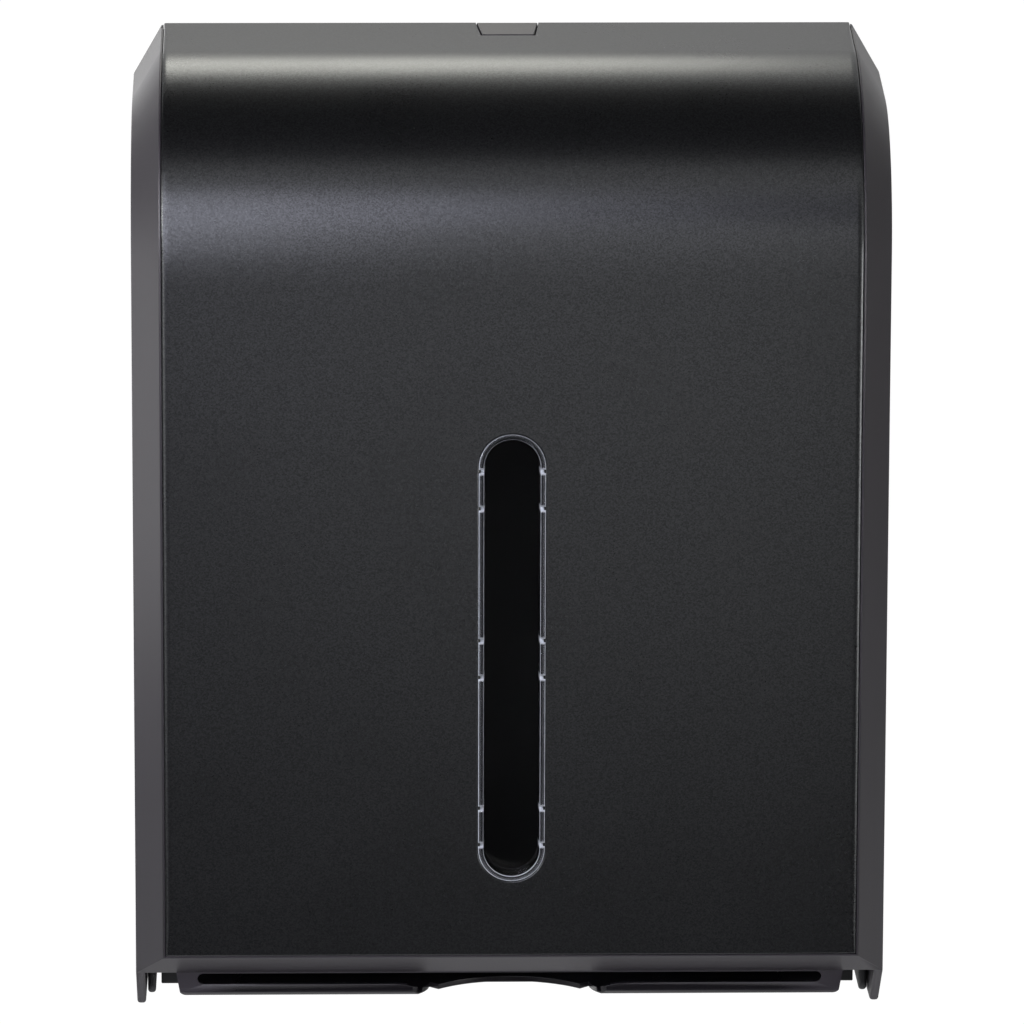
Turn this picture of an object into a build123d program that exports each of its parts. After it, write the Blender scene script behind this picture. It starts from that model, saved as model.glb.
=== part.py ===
from build123d import *
import math
import os

# A wall-mounted folded towel dispenser, in millimetres.
# X runs to the right, Z up, and the wall is the plane Y = 0 with the room on its -Y side.
# The origin is the centre of the four wall screws. "Out" is the distance from the wall.

# Overall size
overall_width = 280.0
overall_height = 367.0
cover_depth = 102.0
wall_gap = 2.0

# Cutters reach this far past the faces that they cut
overrun = 3.0

# Cover: falling top, round shoulder and bevelled border
top_fall_angle = 6.0
top_run = 31.0
bevel_width = 11.3
bevel_depth = 19.0
bottom_bevel_height = 11.5
frame_wall = 2.5
side_wall = 3.3
bevel_land = 0.3
border_drop = 0.7
side_return = 6.0
land_edge_radius = 0.9
side_edge_radius = 2.0
ledge_width = 8.0
mitre_inset = 0.4

# Cover: rail behind the top of the panel
rail_gap = 1.0
rail_width = 12.0

# Cover: legs and hinge lugs
leg_drop = 20.6
lug_radius = 15.0
leg_toe_back = 22.0
leg_toe_rise = 2.3
leg_toe_radius = 6.0

# Cover: throat with the dispensing slot, lip and finger cut-out
throat_half_width = 125.0
throat_draft = 1.7
throat_height = 9.3
throat_corner_radius = 2.5
slot_length = 234.0
slot_height = 4.4
slot_drop = 0.4
floor_thickness = 2.0
floor_run = 29.0
lip_chamfer_run = 2.0
lip_chamfer_rise = 1.6
finger_lip_half = 36.3
finger_sweep_half = 44.0
finger_sweep_drop = 2.0
finger_sweep_sag = 0.6
finger_lip_bulge = 1.4
finger_cusp_half = 30.0
finger_cusp_back = 11.6
finger_foot_half = 26.6
finger_foot_back = 8.3
finger_arch_back = 19.0

# Front panel
panel_thickness = 2.2
panel_gap = 0.2
panel_edge_chamfer = 0.5
boss_radius = 2.6
boss_hole_clearance = 0.3
boss_end_gap = 0.1
side_boss_count = 2
side_boss_top_drop = 22.0
side_boss_low_rise = 22.0
bottom_boss_spacing = 120.0

# Window lens
window_width = 24.8
window_height = 170.0
window_rise = 28.7
lens_flange_width = 0.8
lens_flange_thickness = 0.8
lens_wall = 1.2
lens_depth = 11.0
lens_floor = 1.6
lens_fit = 0.15
lens_tab_count = 3
lens_tab_spacing = 64.0
lens_tab_length = 14.0
lens_tab_reach = 1.2
lens_tab_run = 3.0

# Latch button and the notch that it sits in
button_depth = 16.2
button_rear_width = 22.9
button_front_width = 19.3
button_thickness = 3.0
button_gap = 0.35
button_travel = 4.0
stem_width = 9.0
stem_depth = 4.0
stem_out = 8.5
stem_stop_reach = 2.5
stem_stop_height = 2.4
stem_stop_gap = 0.1
stem_guide_gap = 0.3

# Latch bracket
bracket_width = 32.0
bracket_plate = 3.0
bracket_low_drop = 33.0
shelf_drop = 13.0
shelf_thickness = 3.0
shelf_reach = 11.0
cheek_thickness = 3.0
cheek_drop = 12.0

# Catch spring: a bent strip that lifts the button and catches the keeper
strip_thickness = 0.8
strip_width = 8.0
strip_foot_length = 11.0
strip_bend_radius = 2.0
strip_gap = 0.3
catch_rise = 4.0
catch_gap = 0.6
catch_slant = 1.6
catch_ramp_run = 5.0

# Keeper on the cover
keeper_thickness = 1.5
keeper_width = 24.0
keeper_run = 9.0
keeper_lip_width = 16.0
keeper_lip_drop = 9.0

# Rear housing
back_thickness = 3.0
housing_gap = 0.6
back_top_gap = 1.8
back_bevel_gap = 2.0
back_foot_rise = 3.4
button_clearance = 1.2
flange_thickness = 3.0
flange_low_reach = 54.0
flange_top_reach = 24.0
flange_low_straight = 70.0
flange_corner_radius = 5.0
top_flange_reach = 12.0
top_flange_thickness = 2.5
top_flange_half_width = 114.0
rail_rib_thickness = 3.0
rail_rib_height = 6.0
rail_rib_half_spacings = (40.0, 112.0)
rail_rib_low_rise = 30.0
rail_rib_top_drop = 40.0

# Wall screw pattern
wall_screw_spacing_x = 170.0
wall_screw_spacing_z = 240.0
wall_screw_hole_radius = 2.75
wall_boss_radius = 9.0
wall_boss_height = 2.5

# Hinge pins
pin_radius = 3.0
pin_fit = 0.08
pin_press_gap = 0.02
pin_head_radius = 5.0
pin_head_thickness = 1.2
pin_head_gap = 0.3
pin_seat_gap = 0.1
pin_boss_radius = 7.0
pin_boss_length = 9.0
pin_end_gap = 0.5

# Towel tray
tray_thickness = 2.0
tray_side_gap = 2.0
tray_front_gap = 6.0
tray_lip_drop = 7.0
tray_lip_thickness = 2.5
tray_back_height = 12.0
tray_back_thickness = 2.5
tray_boss_gap = 2.0
tray_rib_count = 5
tray_rib_thickness = 2.0
tray_screw_spacing = 120.0

# Screws, with many-sided outlines
screw_sides = 12
screw_radius = 1.5
screw_head_radius = 3.0
screw_head_height = 1.8
screw_fit = 0.05
screw_end_gap = 0.4
panel_screw_radius = 1.2
panel_screw_head_radius = 3.6

# Places that follow from the sizes above
half_width = overall_width / 2
top_z = overall_height / 2
foot_z = -overall_height / 2
slope = math.radians(top_fall_angle)
shoulder_radius = cover_depth - wall_gap - top_run
front_half = half_width - bevel_width
bevel_start = front_half + bevel_land
bevel_run = bevel_width - bevel_land
bottom_bevel_run = bottom_bevel_height - bevel_land
side_inner = half_width - side_wall
throat_out = cover_depth - bevel_depth
hinge_out = wall_gap + lug_radius
hinge_z = foot_z + lug_radius
bevel_low_z = foot_z + leg_drop
panel_low_z = bevel_low_z + bottom_bevel_height
throat_low_z = bevel_low_z - throat_height
floor_top_z = throat_low_z + floor_thickness
slot_top_z = bevel_low_z - slot_drop
slot_low_z = slot_top_z - slot_height
floor_rear_out = throat_out - floor_run
tray_reach = floor_rear_out - tray_front_gap
ledge_depth = panel_thickness + frame_wall
shoulder_out = wall_gap + top_run
shoulder_z = top_z - top_run * math.tan(slope) - shoulder_radius / math.cos(slope)
bevel_length = math.hypot(bevel_run, bevel_depth)
bottom_bevel_rise = frame_wall * math.hypot(bevel_depth, bottom_bevel_run) / bevel_depth
window_z = panel_low_z + window_rise + window_height / 2
button_front_out = wall_gap + button_depth
notch_front_out = button_front_out + button_gap
rail_rear_out = notch_front_out + rail_gap
rail_front_out = rail_rear_out + rail_width
housing_half = side_inner - housing_gap
flange_inner = housing_half - flange_thickness
back_low_z = foot_z + back_foot_rise
bracket_out = back_thickness + bracket_plate

# Drawing plane that holds (out, Z), seen from the side
SIDE = Plane(origin=(0, 0, 0), x_dir=(0, -1, 0), z_dir=(-1, 0, 0))


def side_slab(face, x_low, x_high):
    """A side-view face carried across from x_low to x_high."""
    return extrude(SIDE.offset(-x_high) * face, amount=x_high - x_low)


def front_slab(face, out_low, out_high):
    """A front-view face carried forward from out_low to out_high."""
    return extrude(Plane.XZ.offset(out_low) * face, amount=out_high - out_low)


def plan_slab(face, z_low, z_high):
    """A plan-view face carried up from z_low to z_high."""
    return extrude(Plane.XY.offset(z_low) * face, amount=z_high - z_low)


def block(x_low, x_high, out_low, out_high, z_low, z_high):
    """A box between two corners."""
    box = Box(x_high - x_low, out_high - out_low, z_high - z_low)
    return Pos((x_low + x_high) / 2, -(out_low + out_high) / 2, (z_low + z_high) / 2) * box


def out_rod(x, z, radius, out_low, out_high):
    """A round rod that points away from the wall."""
    return front_slab(Pos(x, z) * Circle(radius), out_low, out_high)


def out_screw(x, z, radius, out_low, out_high):
    """A screw's shank or head that points away from the wall."""
    return front_slab(Pos(x, z) * RegularPolygon(radius, screw_sides), out_low, out_high)


def side_rod(out, z, radius, x_low, x_high):
    """A round rod that points along X."""
    return side_slab(Pos(out, z) * Circle(radius), x_low, x_high)


def obround(width, height, z):
    """An upright round-ended face on the centre line."""
    return Pos(0, z) * Rot(0, 0, 90) * SlotOverall(height, width)


def polygon(points):
    """A closed face through the given points."""
    return make_face(Polyline(*points, close=True))


def rounded(points, radii):
    """A closed face through the given points, with some of its corners rounded."""
    face = polygon(points)
    for corner, radius in radii.items():
        face = fillet(face.vertices().sort_by_distance(corner)[0], radius)
    return face


def both_sides(shape):
    """A right-hand shape with its mirror image."""
    return shape + mirror(shape, about=Plane.YZ)


def top_surface_z(out, depth):
    """Height of the falling top, at a depth below its surface."""
    return shoulder_z + (shoulder_radius - depth) / math.cos(slope) - (out - shoulder_out) * math.tan(slope)


def bottom_bevel_z(out):
    """Height of the bottom bevel's outer face."""
    return bevel_low_z + (out - throat_out) * bottom_bevel_run / bevel_depth


def inner_bevel_x(depth):
    """Where the side bevel's inner face lies, at a depth below the panel's surface."""
    return bevel_start + (bevel_run * depth - frame_wall * bevel_length) / bevel_depth


def inner_bevel_depth(x):
    """Depth below the panel's surface of the side bevel's inner face."""
    return (bevel_depth * (x - bevel_start) + frame_wall * bevel_length) / bevel_run


def cover_line(depth, rear_out, low_z):
    """Side-view line of the cover at a depth: falling top, shoulder arc and upright front."""
    radius = shoulder_radius - depth
    middle = (math.pi / 2 + slope) / 2
    rear = (rear_out, top_surface_z(rear_out, depth))
    crest = (shoulder_out + radius * math.sin(slope), shoulder_z + radius * math.cos(slope))
    bend = (shoulder_out + radius * math.sin(middle), shoulder_z + radius * math.cos(middle))
    brow = (shoulder_out + radius, shoulder_z)
    chin = (shoulder_out + radius, low_z)
    return [Line(rear, crest), ThreePointArc(crest, bend, brow), Line(brow, chin)]


def cover_region(depth, rear_out, low_z):
    """Side-view face of everything behind the cover's line at a depth."""
    line = cover_line(depth, rear_out, low_z)
    rear = line[0] @ 0
    chin = line[-1] @ 1
    heel = (rear_out, low_z)
    return make_face(line + [Line(chin, heel), Line(heel, rear)])


def cover_band(depth_low, depth_high, x_low, x_high, low_z):
    """A sheet that follows the cover's line between two depths."""
    outer = side_slab(cover_region(depth_low, wall_gap, low_z), x_low, x_high)
    inner_face = cover_region(depth_high, wall_gap - overrun, low_z - overrun)
    return outer - side_slab(inner_face, x_low - overrun, x_high + overrun)


def flank_section():
    """Cross-section of the right border: pocket wall, land, bevel, side return and ledge."""
    side_end = bevel_depth + side_return
    land_edge = (bevel_start + border_drop * bevel_run / bevel_depth, -border_drop)
    points = [
        (front_half, -panel_thickness),
        (front_half, -border_drop),
        land_edge,
        (half_width, -bevel_depth),
        (half_width, -side_end),
        (side_inner, -side_end),
        (side_inner, -inner_bevel_depth(side_inner)),
        (inner_bevel_x(ledge_depth), -ledge_depth),
        (front_half - ledge_width, -ledge_depth),
        (front_half - ledge_width, -panel_thickness),
    ]
    radii = {land_edge: land_edge_radius, (half_width, -bevel_depth): side_edge_radius}
    return rounded(points, radii)


def flank():
    """The right border, swept over the shoulder and trimmed by the bottom bevel."""
    path = Wire([SIDE * edge for edge in cover_line(0, wall_gap - overrun, bevel_low_z)])
    plane = Plane(origin=path @ 0, x_dir=(1, 0, 0), z_dir=path % 0)
    border = sweep(plane * flank_section(), path=path)
    border -= block(0, half_width + overrun, wall_gap - 2 * overrun, wall_gap, 0, top_z + overrun)
    far_out = cover_depth + overrun
    below = [
        (throat_out, bevel_low_z),
        (far_out, bottom_bevel_z(far_out)),
        (far_out, bevel_low_z - overrun),
        (throat_out, bevel_low_z - overrun),
    ]
    under = polygon(below)
    return border - side_slab(under, 0, half_width + overrun)


def side_plate():
    """The right side wall with its leg and round hinge lug."""
    wall_face = cover_region(bevel_depth + side_return / 2, wall_gap, bevel_low_z)
    toe = (throat_out - leg_toe_back, foot_z + leg_toe_rise)
    leg_points = [
        (throat_out, bevel_low_z),
        toe,
        (hinge_out, foot_z),
        (hinge_out, bevel_low_z),
    ]
    leg = rounded(leg_points, {toe: leg_toe_radius})
    lug = Pos(hinge_out, hinge_z) * Circle(lug_radius)
    heel_height = bevel_low_z - hinge_z
    heel = Pos(wall_gap + lug_radius / 2, hinge_z + heel_height / 2) * Rectangle(lug_radius, heel_height)
    plate = side_slab(wall_face + leg + lug + heel, side_inner, half_width)
    plate -= side_rod(hinge_out, hinge_z, pin_radius + pin_fit, side_inner - overrun, half_width + overrun)
    head_seat = half_width - pin_head_thickness - pin_seat_gap
    head_radius = pin_head_radius + pin_head_gap
    return plate - side_rod(hinge_out, hinge_z, head_radius, head_seat, half_width + overrun)


def bottom_bevel():
    """The bevelled strip under the panel, with the ledge that the panel stands on."""
    inner_out = throat_out - frame_wall
    ledge_out = cover_depth - ledge_depth
    pocket_out = cover_depth - panel_thickness
    land_out = cover_depth - border_drop
    brow = (land_out, bottom_bevel_z(land_out))
    points = [
        (land_out, panel_low_z),
        brow,
        (throat_out, bevel_low_z),
        (inner_out, bevel_low_z),
        (inner_out, bottom_bevel_z(inner_out) + bottom_bevel_rise),
        (ledge_out, bottom_bevel_z(ledge_out) + bottom_bevel_rise),
        (ledge_out, panel_low_z + ledge_width),
        (pocket_out, panel_low_z + ledge_width),
        (pocket_out, panel_low_z),
    ]
    end_x = half_width - mitre_inset
    strip = side_slab(rounded(points, {brow: land_edge_radius}), -end_x, end_x)
    far_out = cover_depth + overrun
    far_x = bevel_start - mitre_inset - overrun * bevel_run / bevel_depth
    outside = [
        (far_x, -far_out),
        (end_x, -throat_out),
        (half_width + overrun, -throat_out),
        (half_width + overrun, -far_out),
    ]
    corner = plan_slab(polygon(outside), foot_z, panel_low_z + ledge_width + overrun)
    return strip - both_sides(corner)


def finger_cutter():
    """Plan of the finger cut-out: two rounded lip ends and an arch between two feet."""
    front = -throat_out
    lip_end = (finger_lip_half, front)
    cusp = (finger_cusp_half, front + finger_cusp_back)
    foot = (finger_foot_half, front + finger_foot_back)
    arch = (0, front + finger_arch_back)
    mouth = (finger_lip_half, front - overrun)
    left = [(-x, y) for x, y in (mouth, lip_end, cusp, foot)]
    edges = [
        Line(mouth, lip_end),
        SagittaArc(lip_end, cusp, finger_lip_bulge),
        Line(cusp, foot),
        ThreePointArc(foot, arch, left[3]),
        Line(left[3], left[2]),
        SagittaArc(left[2], left[1], finger_lip_bulge),
        Line(left[1], left[0]),
        Line(left[0], mouth),
    ]
    return plan_slab(make_face(edges), throat_low_z - overrun, slot_low_z + slot_height / 2)


def lip_sweep():
    """Cutter that lets the slot's lower edge fall in a curve towards the finger cut-out."""
    start = (finger_sweep_half, slot_low_z)
    end = (finger_lip_half - overrun, slot_low_z - finger_sweep_drop)
    middle = ((start[0] + end[0]) / 2, slot_low_z - finger_sweep_drop / 2 + finger_sweep_sag)
    top_z_cut = slot_low_z + slot_height / 2
    edges = [
        ThreePointArc(start, middle, end),
        Line(end, (end[0], top_z_cut)),
        Line((end[0], top_z_cut), (finger_sweep_half, top_z_cut)),
        Line((finger_sweep_half, top_z_cut), start),
    ]
    return front_slab(make_face(edges), throat_out - frame_wall - overrun, throat_out + overrun)


def throat():
    """The slotted wall under the bevel, its lip, and the floor that the towels lie on."""
    low_half = throat_half_width - throat_draft
    corners = [(-low_half, throat_low_z), (low_half, throat_low_z)]
    points = corners + [(throat_half_width, bevel_low_z), (-throat_half_width, bevel_low_z)]
    wall_face = rounded(points, {corner: throat_corner_radius for corner in corners})
    slot = Pos(0, (slot_top_z + slot_low_z) / 2) * SlotOverall(slot_length, slot_height)
    wall = front_slab(wall_face - slot, throat_out - frame_wall, throat_out)
    floor_half = low_half - throat_corner_radius
    floor = block(-floor_half, floor_half, floor_rear_out, throat_out, throat_low_z, floor_top_z)
    chamfer_points = [
        (throat_out - lip_chamfer_run, throat_low_z),
        (throat_out, throat_low_z + lip_chamfer_rise),
        (throat_out + overrun, throat_low_z + lip_chamfer_rise),
        (throat_out + overrun, throat_low_z - overrun),
        (throat_out - lip_chamfer_run, throat_low_z - overrun),
    ]
    under_lip = polygon(chamfer_points)
    wall -= both_sides(lip_sweep())
    return wall + floor - side_slab(under_lip, -half_width, half_width) - finger_cutter()


def notch_cutter():
    """The open-backed notch in the cover's top that the latch button sits in."""
    rear_out = wall_gap - overrun
    spread = (button_rear_width - button_front_width) / button_depth / 2
    front = button_front_width / 2 + button_gap - button_gap * spread
    rear = front + (notch_front_out - rear_out) * spread
    points = [(-rear, -rear_out), (-front, -notch_front_out), (front, -notch_front_out), (rear, -rear_out)]
    return plan_slab(polygon(points), shoulder_z, top_z + overrun)


def cover_rail():
    """The rail across the back of the panel's top that carries the keeper."""
    end_x = front_half - ledge_width / 2
    sheet = cover_band(panel_thickness, ledge_depth, -end_x, end_x, panel_low_z)
    return sheet & block(-half_width, half_width, rail_rear_out, rail_front_out, shoulder_z, top_z)


def side_boss_heights():
    """Heights of the panel's bosses along each side."""
    high = shoulder_z - side_boss_top_drop
    low = panel_low_z + side_boss_low_rise
    step = (high - low) / (side_boss_count - 1)
    return [low + step * number for number in range(side_boss_count)]


def boss_places():
    """Where the panel's bosses stand: up each side and along the bottom."""
    side_x = front_half - ledge_width / 2
    bottom_z = panel_low_z + ledge_width / 2
    sides = [(sign * side_x, z) for z in side_boss_heights() for sign in (-1, 1)]
    bottom = [(sign * bottom_boss_spacing / 2, bottom_z) for sign in (-1, 1)]
    return sides + bottom


def keeper_screw_places():
    """Where the keeper's two screws stand, as x and out."""
    x = (keeper_lip_width + keeper_width) / 4
    out = rail_rear_out + keeper_run / 2 + keeper_thickness / 2
    return [(-x, out), (x, out)]


def top_post(face, x, out, depth_low, depth_high):
    """A face carried square to the falling top, between two depths below it."""
    tilt = Plane(
        origin=(x, -out, top_surface_z(out, 0)),
        x_dir=(1, 0, 0),
        z_dir=(0, -math.sin(slope), math.cos(slope)),
    )
    return extrude(tilt.offset(-depth_high) * face, amount=depth_high - depth_low)


def cover_frame():
    """The moulded border of the cover with its legs, throat and panel ledge."""
    frame = both_sides(flank()) + both_sides(side_plate()) + bottom_bevel() + throat() + cover_rail()
    hole_radius = boss_radius + boss_hole_clearance
    far_out = cover_depth + overrun
    for x, z in boss_places():
        frame -= out_rod(x, z, hole_radius, cover_depth - ledge_depth - overrun, far_out)
    for x, out in keeper_screw_places():
        frame -= top_post(Circle(screw_radius + screw_fit), x, out, 0, ledge_depth + overrun)
    return frame


def front_panel():
    """The curved front skin with its window, latch notch and bosses."""
    edge_x = front_half - panel_gap
    panel = cover_band(0, panel_thickness, -edge_x, edge_x, panel_low_z + panel_gap)
    front_edges = [SIDE.offset(-x) * edge for x in (-edge_x, edge_x)
                   for edge in cover_line(0, wall_gap, panel_low_z + panel_gap)]
    rims = [panel.edges().sort_by_distance(edge.position_at(0.5))[0] for edge in front_edges]
    panel = chamfer(rims, panel_edge_chamfer)
    seat_out = cover_depth - lens_flange_thickness
    far_out = cover_depth + overrun
    tub_fit = 2 * (lens_fit - lens_flange_width)
    flange_fit = 2 * lens_fit
    hole = obround(window_width + tub_fit, window_height + tub_fit, window_z)
    seat = obround(window_width + flange_fit, window_height + flange_fit, window_z)
    panel -= front_slab(hole, cover_depth - panel_thickness - overrun, far_out)
    panel -= front_slab(seat, seat_out, far_out)
    panel -= notch_cutter()
    back_out = cover_depth - panel_thickness
    boss_end = cover_depth - ledge_depth + boss_end_gap
    for x, z in boss_places():
        panel += out_rod(x, z, boss_radius, boss_end, back_out)
    for x, z in boss_places():
        panel -= out_rod(x, z, panel_screw_radius + screw_fit, boss_end - overrun, back_out)
    return panel


def panel_screws():
    """Pan-head screws that hold the panel to the frame's ledge."""
    back_out = cover_depth - ledge_depth
    screws = []
    for x, z in boss_places():
        shank = out_screw(x, z, panel_screw_radius, back_out, cover_depth - panel_thickness - screw_end_gap)
        head = out_screw(x, z, panel_screw_head_radius, back_out - screw_head_height, back_out)
        screws.append(head + shank)
    return Compound(children=screws)


def lens_tab():
    """One wedge-shaped snap tab on the lens's right side, at the window's middle."""
    side_x = window_width / 2 - lens_flange_width
    start = cover_depth - panel_thickness - lens_fit
    points = [
        (side_x - lens_wall / 2, -start),
        (side_x + lens_tab_reach, -start),
        (side_x, -start + lens_tab_run),
        (side_x - lens_wall / 2, -start + lens_tab_run),
    ]
    face = polygon(points)
    return plan_slab(face, window_z - lens_tab_length / 2, window_z + lens_tab_length / 2)


def window_lens():
    """The clear round-ended tub that shows how full the dispenser is."""
    shrink = -2 * lens_flange_width
    hollow = shrink - 2 * lens_wall
    rear_out = cover_depth - lens_depth
    flange = front_slab(
        obround(window_width, window_height, window_z), cover_depth - lens_flange_thickness, cover_depth
    )
    tub = front_slab(obround(window_width + shrink, window_height + shrink, window_z), rear_out, cover_depth)
    hole = obround(window_width + hollow, window_height + hollow, window_z)
    lens = flange + tub - front_slab(hole, rear_out + lens_floor, cover_depth + overrun)
    tab = lens_tab()
    middle = (lens_tab_count - 1) / 2
    for number in range(lens_tab_count):
        lens += both_sides(Pos(0, 0, (number - middle) * lens_tab_spacing) * tab)
    return lens


# Latch places, worked down from the button's top
button_low_z = top_surface_z(button_front_out, 0) - button_thickness
shelf_top_z = button_low_z - shelf_drop + button_thickness
shelf_low_z = shelf_top_z - shelf_thickness
stop_top_z = shelf_low_z - stem_stop_gap
stop_low_z = stop_top_z - stem_stop_height
stem_low_z = stop_low_z - button_travel
stem_front_out = stem_out + stem_depth
strip_middle_out = bracket_out + strip_thickness / 2
keeper_lip_out = rail_rear_out + keeper_thickness
keeper_low_z = top_surface_z(rail_rear_out, ledge_depth) - keeper_lip_drop
valley_out = keeper_lip_out + catch_gap + strip_thickness / 2
valley_z = keeper_low_z - strip_gap - strip_thickness
contact_z = stem_low_z - strip_gap - strip_thickness
arm_slope = (valley_z - contact_z) / (valley_out - stem_front_out)
knee_z = contact_z - arm_slope * (stem_front_out - strip_middle_out)
strip_low_z = knee_z - strip_foot_length
strip_screw_z = strip_low_z + strip_foot_length / 2


def latch_button():
    """The push button: a flush plate on a stem that is stopped under the bracket's shelf."""
    rear = button_rear_width / 2
    front = button_front_width / 2
    points = [(-rear, -wall_gap), (-front, -button_front_out), (front, -button_front_out), (rear, -wall_gap)]
    plate = plan_slab(polygon(points), button_low_z, top_z + overrun)
    plate &= side_slab(cover_region(0, wall_gap, panel_low_z), -half_width, half_width)
    stem = block(-stem_width / 2, stem_width / 2, stem_out, stem_front_out, stem_low_z, button_low_z)
    stop_half = stem_width / 2 + stem_stop_reach
    stop = block(-stop_half, stop_half, stem_out, stem_front_out, stop_low_z, stop_top_z)
    return plate + stem + stop


def bracket_screw_places():
    """Where the bracket's two screws stand, as x and z."""
    x = (bracket_width + strip_width) / 4
    z = shelf_top_z - bracket_low_drop + screw_head_radius + screw_end_gap
    return [(-x, z), (x, z)]


def latch_bracket():
    """The bracket on the back plate that guides the button and carries the catch spring."""
    half = bracket_width / 2
    low_z = shelf_top_z - bracket_low_drop
    reach = bracket_out + shelf_reach
    body = block(-half, half, back_thickness, bracket_out, low_z, shelf_top_z)
    body += block(-half, half, bracket_out, reach, shelf_low_z, shelf_top_z)
    cheek_points = [
        (bracket_out, shelf_low_z),
        (reach, shelf_low_z),
        (bracket_out, shelf_low_z - cheek_drop),
    ]
    cheek = polygon(cheek_points)
    body += both_sides(side_slab(cheek, half - cheek_thickness, half))
    guide_half = stem_width / 2 + stem_guide_gap
    body -= block(
        -guide_half, guide_half,
        stem_out - stem_guide_gap, stem_front_out + stem_guide_gap,
        shelf_low_z - overrun, shelf_top_z + overrun,
    )
    for x, z in bracket_screw_places():
        body -= out_rod(x, z, screw_radius + screw_fit, 0, bracket_out + overrun)
    return body - out_rod(0, strip_screw_z, screw_radius + screw_fit, back_thickness + screw_end_gap, reach)


def catch_spring():
    """The bent strip: screwed foot, arm under the stem, hump in front of the keeper, free ramp."""
    catch_out = valley_out + catch_slant
    points = [
        (strip_middle_out, strip_low_z),
        (strip_middle_out, knee_z),
        (valley_out, valley_z),
        (catch_out, keeper_low_z + catch_rise),
        (catch_out + catch_ramp_run, keeper_low_z),
    ]
    path = SIDE * FilletPolyline(*points, radius=strip_bend_radius)
    plane = Plane(origin=path @ 0, x_dir=(1, 0, 0), z_dir=path % 0)
    strip = sweep(plane * Rectangle(strip_width, strip_thickness), path=path)
    return strip - out_rod(0, strip_screw_z, screw_radius + screw_fit, 0, bracket_out + overrun)


def keeper():
    """The bent steel keeper under the cover's rail, with the lip that the spring catches."""
    rear = rail_rear_out
    front = rear + keeper_thickness + keeper_run
    outer = ledge_depth
    inner = ledge_depth + keeper_thickness
    flange_points = [
        (rear, top_surface_z(rear, outer)),
        (front, top_surface_z(front, outer)),
        (front, top_surface_z(front, inner)),
        (rear, top_surface_z(rear, inner)),
    ]
    lip_points = [
        (rear, top_surface_z(rear, outer)),
        (keeper_lip_out, top_surface_z(keeper_lip_out, outer)),
        (keeper_lip_out, keeper_low_z),
        (rear, keeper_low_z),
    ]
    flange = polygon(flange_points)
    lip = polygon(lip_points)
    plate = side_slab(flange, -keeper_width / 2, keeper_width / 2)
    plate += side_slab(lip, -keeper_lip_width / 2, keeper_lip_width / 2)
    for x, out in keeper_screw_places():
        plate -= top_post(Circle(screw_radius + screw_fit), x, out, 0, inner + overrun)
    return plate


def keeper_screws():
    """The two screws that hold the keeper to the rail."""
    seat = ledge_depth + keeper_thickness
    screws = []
    for x, out in keeper_screw_places():
        shank_face = RegularPolygon(screw_radius, screw_sides)
        head_face = RegularPolygon(screw_head_radius, screw_sides)
        shank = top_post(shank_face, x, out, panel_thickness + screw_end_gap, seat)
        head = top_post(head_face, x, out, seat, seat + screw_head_height)
        screws.append(shank + head)
    return Compound(children=screws)


def wall_screws(places, seat_out):
    """Screws that are driven towards the wall, with their heads on a seat."""
    screws = []
    for x, z in places:
        shank = out_screw(x, z, screw_radius, screw_end_gap, seat_out)
        head = out_screw(x, z, screw_head_radius, seat_out, seat_out + screw_head_height)
        screws.append(shank + head)
    return Compound(children=screws)


def spring_screw():
    """The screw that holds the catch spring's foot to the bracket."""
    seat = bracket_out + strip_thickness
    shank = out_screw(0, strip_screw_z, screw_radius, back_thickness + 2 * screw_end_gap, seat)
    return shank + out_screw(0, strip_screw_z, screw_head_radius, seat, seat + screw_head_height)


# Housing and tray places
back_top_z = top_surface_z(wall_gap, ledge_depth) - back_top_gap
back_shoulder_x = inner_bevel_x(top_surface_z(wall_gap, 0) - back_top_z) - back_bevel_gap
back_shoulder_z = top_surface_z(wall_gap, inner_bevel_depth(housing_half + back_bevel_gap))
flange_top_z = back_shoulder_z - back_bevel_gap
tray_low_z = floor_top_z - tray_thickness
tray_half = flange_inner - tray_side_gap
tray_screw_z = floor_top_z + tray_back_height / 2


def tray_screw_places():
    """Where the tray's two screws stand, as x and z."""
    return [(sign * tray_screw_spacing / 2, tray_screw_z) for sign in (-1, 1)]


def back_plate():
    """The flat back with bevelled top corners and a dip under the latch button."""
    points = [
        (-housing_half, back_low_z),
        (housing_half, back_low_z),
        (housing_half, back_shoulder_z),
        (back_shoulder_x, back_top_z),
        (-back_shoulder_x, back_top_z),
        (-housing_half, back_shoulder_z),
    ]
    plate = front_slab(polygon(points), 0, back_thickness)
    dip_half = button_rear_width / 2 + button_clearance
    dip_z = button_low_z - button_travel - button_clearance
    return plate - block(-dip_half, dip_half, -overrun, back_thickness + overrun, dip_z, top_z)


def side_flange():
    """The right flange: deep and straight at the bottom, drawn in towards the top."""
    straight_z = back_low_z + flange_low_straight
    toe = (flange_low_reach, back_low_z)
    crown = (flange_top_reach, flange_top_z)
    points = [(0, back_low_z), toe, (flange_low_reach, straight_z), crown, (0, flange_top_z)]
    face = rounded(points, {toe: flange_corner_radius, crown: flange_corner_radius})
    flange = side_slab(face, flange_inner, housing_half)
    return flange + side_rod(hinge_out, hinge_z, pin_boss_radius, flange_inner - pin_boss_length, flange_inner)


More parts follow.
